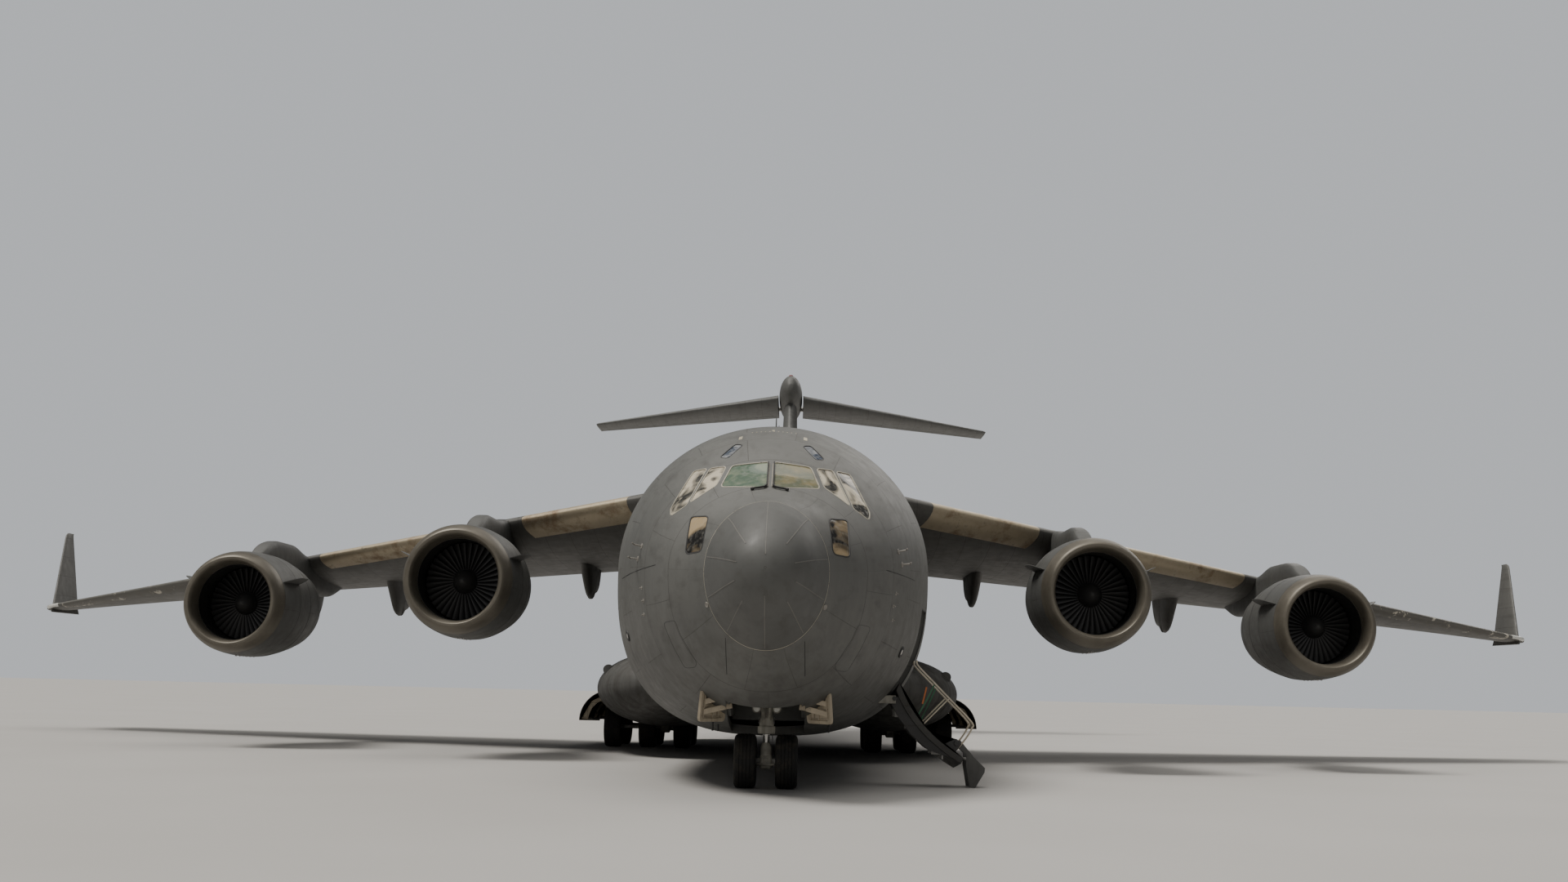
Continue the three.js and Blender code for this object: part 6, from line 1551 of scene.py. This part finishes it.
for s in (-0.19, 0.19):
    housing.append(lathe([(-0.17, 0.03), (-0.20, 0.07), (-0.25, 0.084), (-0.31, 0.088), (-0.312, 0.080),
                          (-0.295, 0.076), (-0.295, 0.02)], (s, ny, 1.50), 40))
    lens.append(lathe([(-0.285, 0.077), (-0.300, 0.06), (-0.306, 0.03), (-0.308, 0.004)], (s, ny, 1.50), 40))
make("taxi_lamps", housing, STEEL, slot="gear_steel")
make("taxi_lenses", lens, LAMP, slot="glazing")
fork = [lathe([(0.58, 0.06), (0.60, 0.105), (0.78, 0.108), (0.82, 0.085), (0.86, 0.075)], (0, ny, 0), 40,
              "z"),
        bar((-0.115, ny, 0.508), (0.115, ny, 0.508), 0.15, 40),
        block((-0.07, ny - 0.06, 0.52), (0.07, ny + 0.06, 0.66)),
        block((-0.05, ny - 0.20, 0.45), (0.05, ny - 0.10, 0.57)),
        bar((-0.145, ny - 0.19, 0.46), (0.145, ny - 0.19, 0.46), 0.022)]
fork += [bar((s * 0.145, ny - 0.19, 0.46), (s * 0.165, ny - 0.19, 0.46), 0.034) for s in (-1, 1)]
fork.append(block((-0.055, ny + 0.10, 0.64), (0.055, ny + 0.20, 0.76)))
make("nose_fork_casting", fork, STEEL, body="nose_steering", slot="gear_steel", replaces=["nose_fork"],
     bevel=0.004)
make("nose_piston", [bar((0, ny, 0.60), (0, ny, 1.28), 0.066, 40)], METAL, body="nose_steering",
     slot="bare_metal")
links = [block((-0.05, ny + 0.16, 0.70), (0.05, ny + 0.34, 0.74)),
         bar((-0.07, ny + 0.33, 0.72), (0.07, ny + 0.33, 0.72), 0.025)]
line = np.array([(0, ny + 0.33, 0.72), (0, ny + 0.26, 0.84), (0, ny + 0.20, 0.96), (0, ny + 0.19, 1.0)])
links.append(sweep(line, strip(0.045, -0.015, 0.015), (0, 1, 0)))
make("nose_scissors", links, STEEL, body="nose_steering", slot="gear_steel", bevel=0.004)
hoses = []
for s in (-1, 1):
    line = curve([(s * 0.13, ny - 0.10, 2.05), (s * 0.18, ny - 0.14, 1.80), (s * 0.15, ny - 0.17, 1.62),
                  (s * 0.12, ny - 0.16, 1.40), (s * 0.15, ny - 0.10, 1.22)], 8)
    hoses.append(sweep(line, round_profile(0.012), (1, 0, 0)))
make("nose_leg_pipes", hoses, DARK_SEAL, slot="gear_steel")

# doors: a rounded tray each, hollowed on its inner face, with two flat arms into the bay
tilt = np.array(Matrix.Rotation(math.radians(30), 3, "Z") @ Matrix.Rotation(math.radians(-5), 3, "Y"))
corner = np.array((1.14, 3.05, 1.52))


def tray(points):
    """Points of a nose door lying square, turned and moved to where it hangs."""
    return points @ tilt.T + corner


def hung_part(low, high):
    """A box on the door, hung with it."""
    part = block(low, high)
    part[0] = tray(part[0])
    return part


outline = rounded([(-0.05, -0.27), (0.80, -0.27), (0.80, 0.32), (-0.05, 0.32)], 0.09, 8)
inset = lambda g: (outline - (0.375, 0.025)) * (1 - g / 0.425, 1 - g / 0.295) + (0.375, 0.025)
rows = [(0.058, 0.05), (0.058, 0.0), (0.003, 0.0), (0.0, 0.02), (0.0, 0.06), (0.028, 0.075)]
door = patch(np.stack([tray(np.c_[np.full(len(outline), d), inset(g)]) for d, g in rows]))
ribs = [[(0.008, 0.05, -0.20), (0.040, 0.09, 0.25)], [(0.008, 0.36, -0.20), (0.040, 0.40, 0.25)],
        [(0.008, 0.66, -0.20), (0.040, 0.70, 0.25)], [(0.014, 0.04, 0.0), (0.040, 0.72, 0.05)]]
both("nose_door_tray_{}", [door] + [hung_part(*ends) for ends in ribs], INNER, slot="inner_paint",
     replaces=["nose_door_{}"], bevel=0.004)
arms = []
for z, x in ((1.60, 1.13), (1.42, 1.13)):
    line = np.array([(x + 0.02, 3.13, z), (x - 0.10, 3.17, z + 0.035), (0.80, 3.24, z + 0.09),
                     (0.70, 3.28, z + 0.12), (0.62, 3.30, z + 0.13)])
    arms.append(sweep(line, rounded(strip(0.02, -0.05, 0.05), 0.015), (0, 0, 1)))
    arms += [bar((px, py - 0.035, pz), (px, py + 0.035, pz), 0.022) for px, py, pz in (line[0], line[2])]
both("nose_door_arms_{}", arms, INNER, slot="inner_paint")
both("nose_door_port_{}", [hung_part((0.056, 0.14, -0.02), (0.070, 0.34, 0.10))], DARK, slot="inner_paint",
     bevel=0.004)


# ------------------------------------------------------------------------------
# Main legs: on each side two stout posts hang from a beam in the pod, each ending in a hub that carries
# three wheels abreast, with drag links and brake pipes
leg_x = MAIN["leg"]
legs, pipes, posts = [block((3.26, 22.36, 1.45), (3.76, 26.99, 1.70))], [], []
for y in (MAIN["front"], MAIN["rear"]):
    posts.append(bar((leg_x, y, 0.70), (leg_x, y, 1.25), 0.085, 32))
    legs.append(lathe(curve([(1.12, 0.115), (1.15, 0.128), (1.22, 0.128), (1.26, 0.112), (1.55, 0.118)], 5),
                      (leg_x, y, 0), 40, "z"))
    legs.append(bar((3.37, y, MAIN["r"]), (3.65, y, MAIN["r"]), 0.17, 40))
    legs += [bar((leg_x + s * 0.06, y, 0.80), (leg_x + s * 0.10, y + k * 0.72, 1.50), 0.035) for s in (-1, 1)
             for k in (-1, 1)]
    for s in (-1, 1):
        line = curve([(leg_x + s * 0.13, y - 0.10, 1.45), (leg_x + s * 0.16, y - 0.15, 1.15),
                      (leg_x + s * 0.13, y - 0.12, 0.85), (leg_x + s * 0.14, y - 0.05, 0.66)], 8)
        pipes.append(sweep(line, round_profile(0.012), (0, 1, 0)))
both("main_leg_casting_{}", legs, STEEL, slot="gear_steel", replaces=["main_leg_{}"], bevel=0.006)
both("main_leg_posts_{}", posts, METAL, slot="bare_metal")
both("main_leg_pipes_{}", pipes, DARK_SEAL, slot="gear_steel")
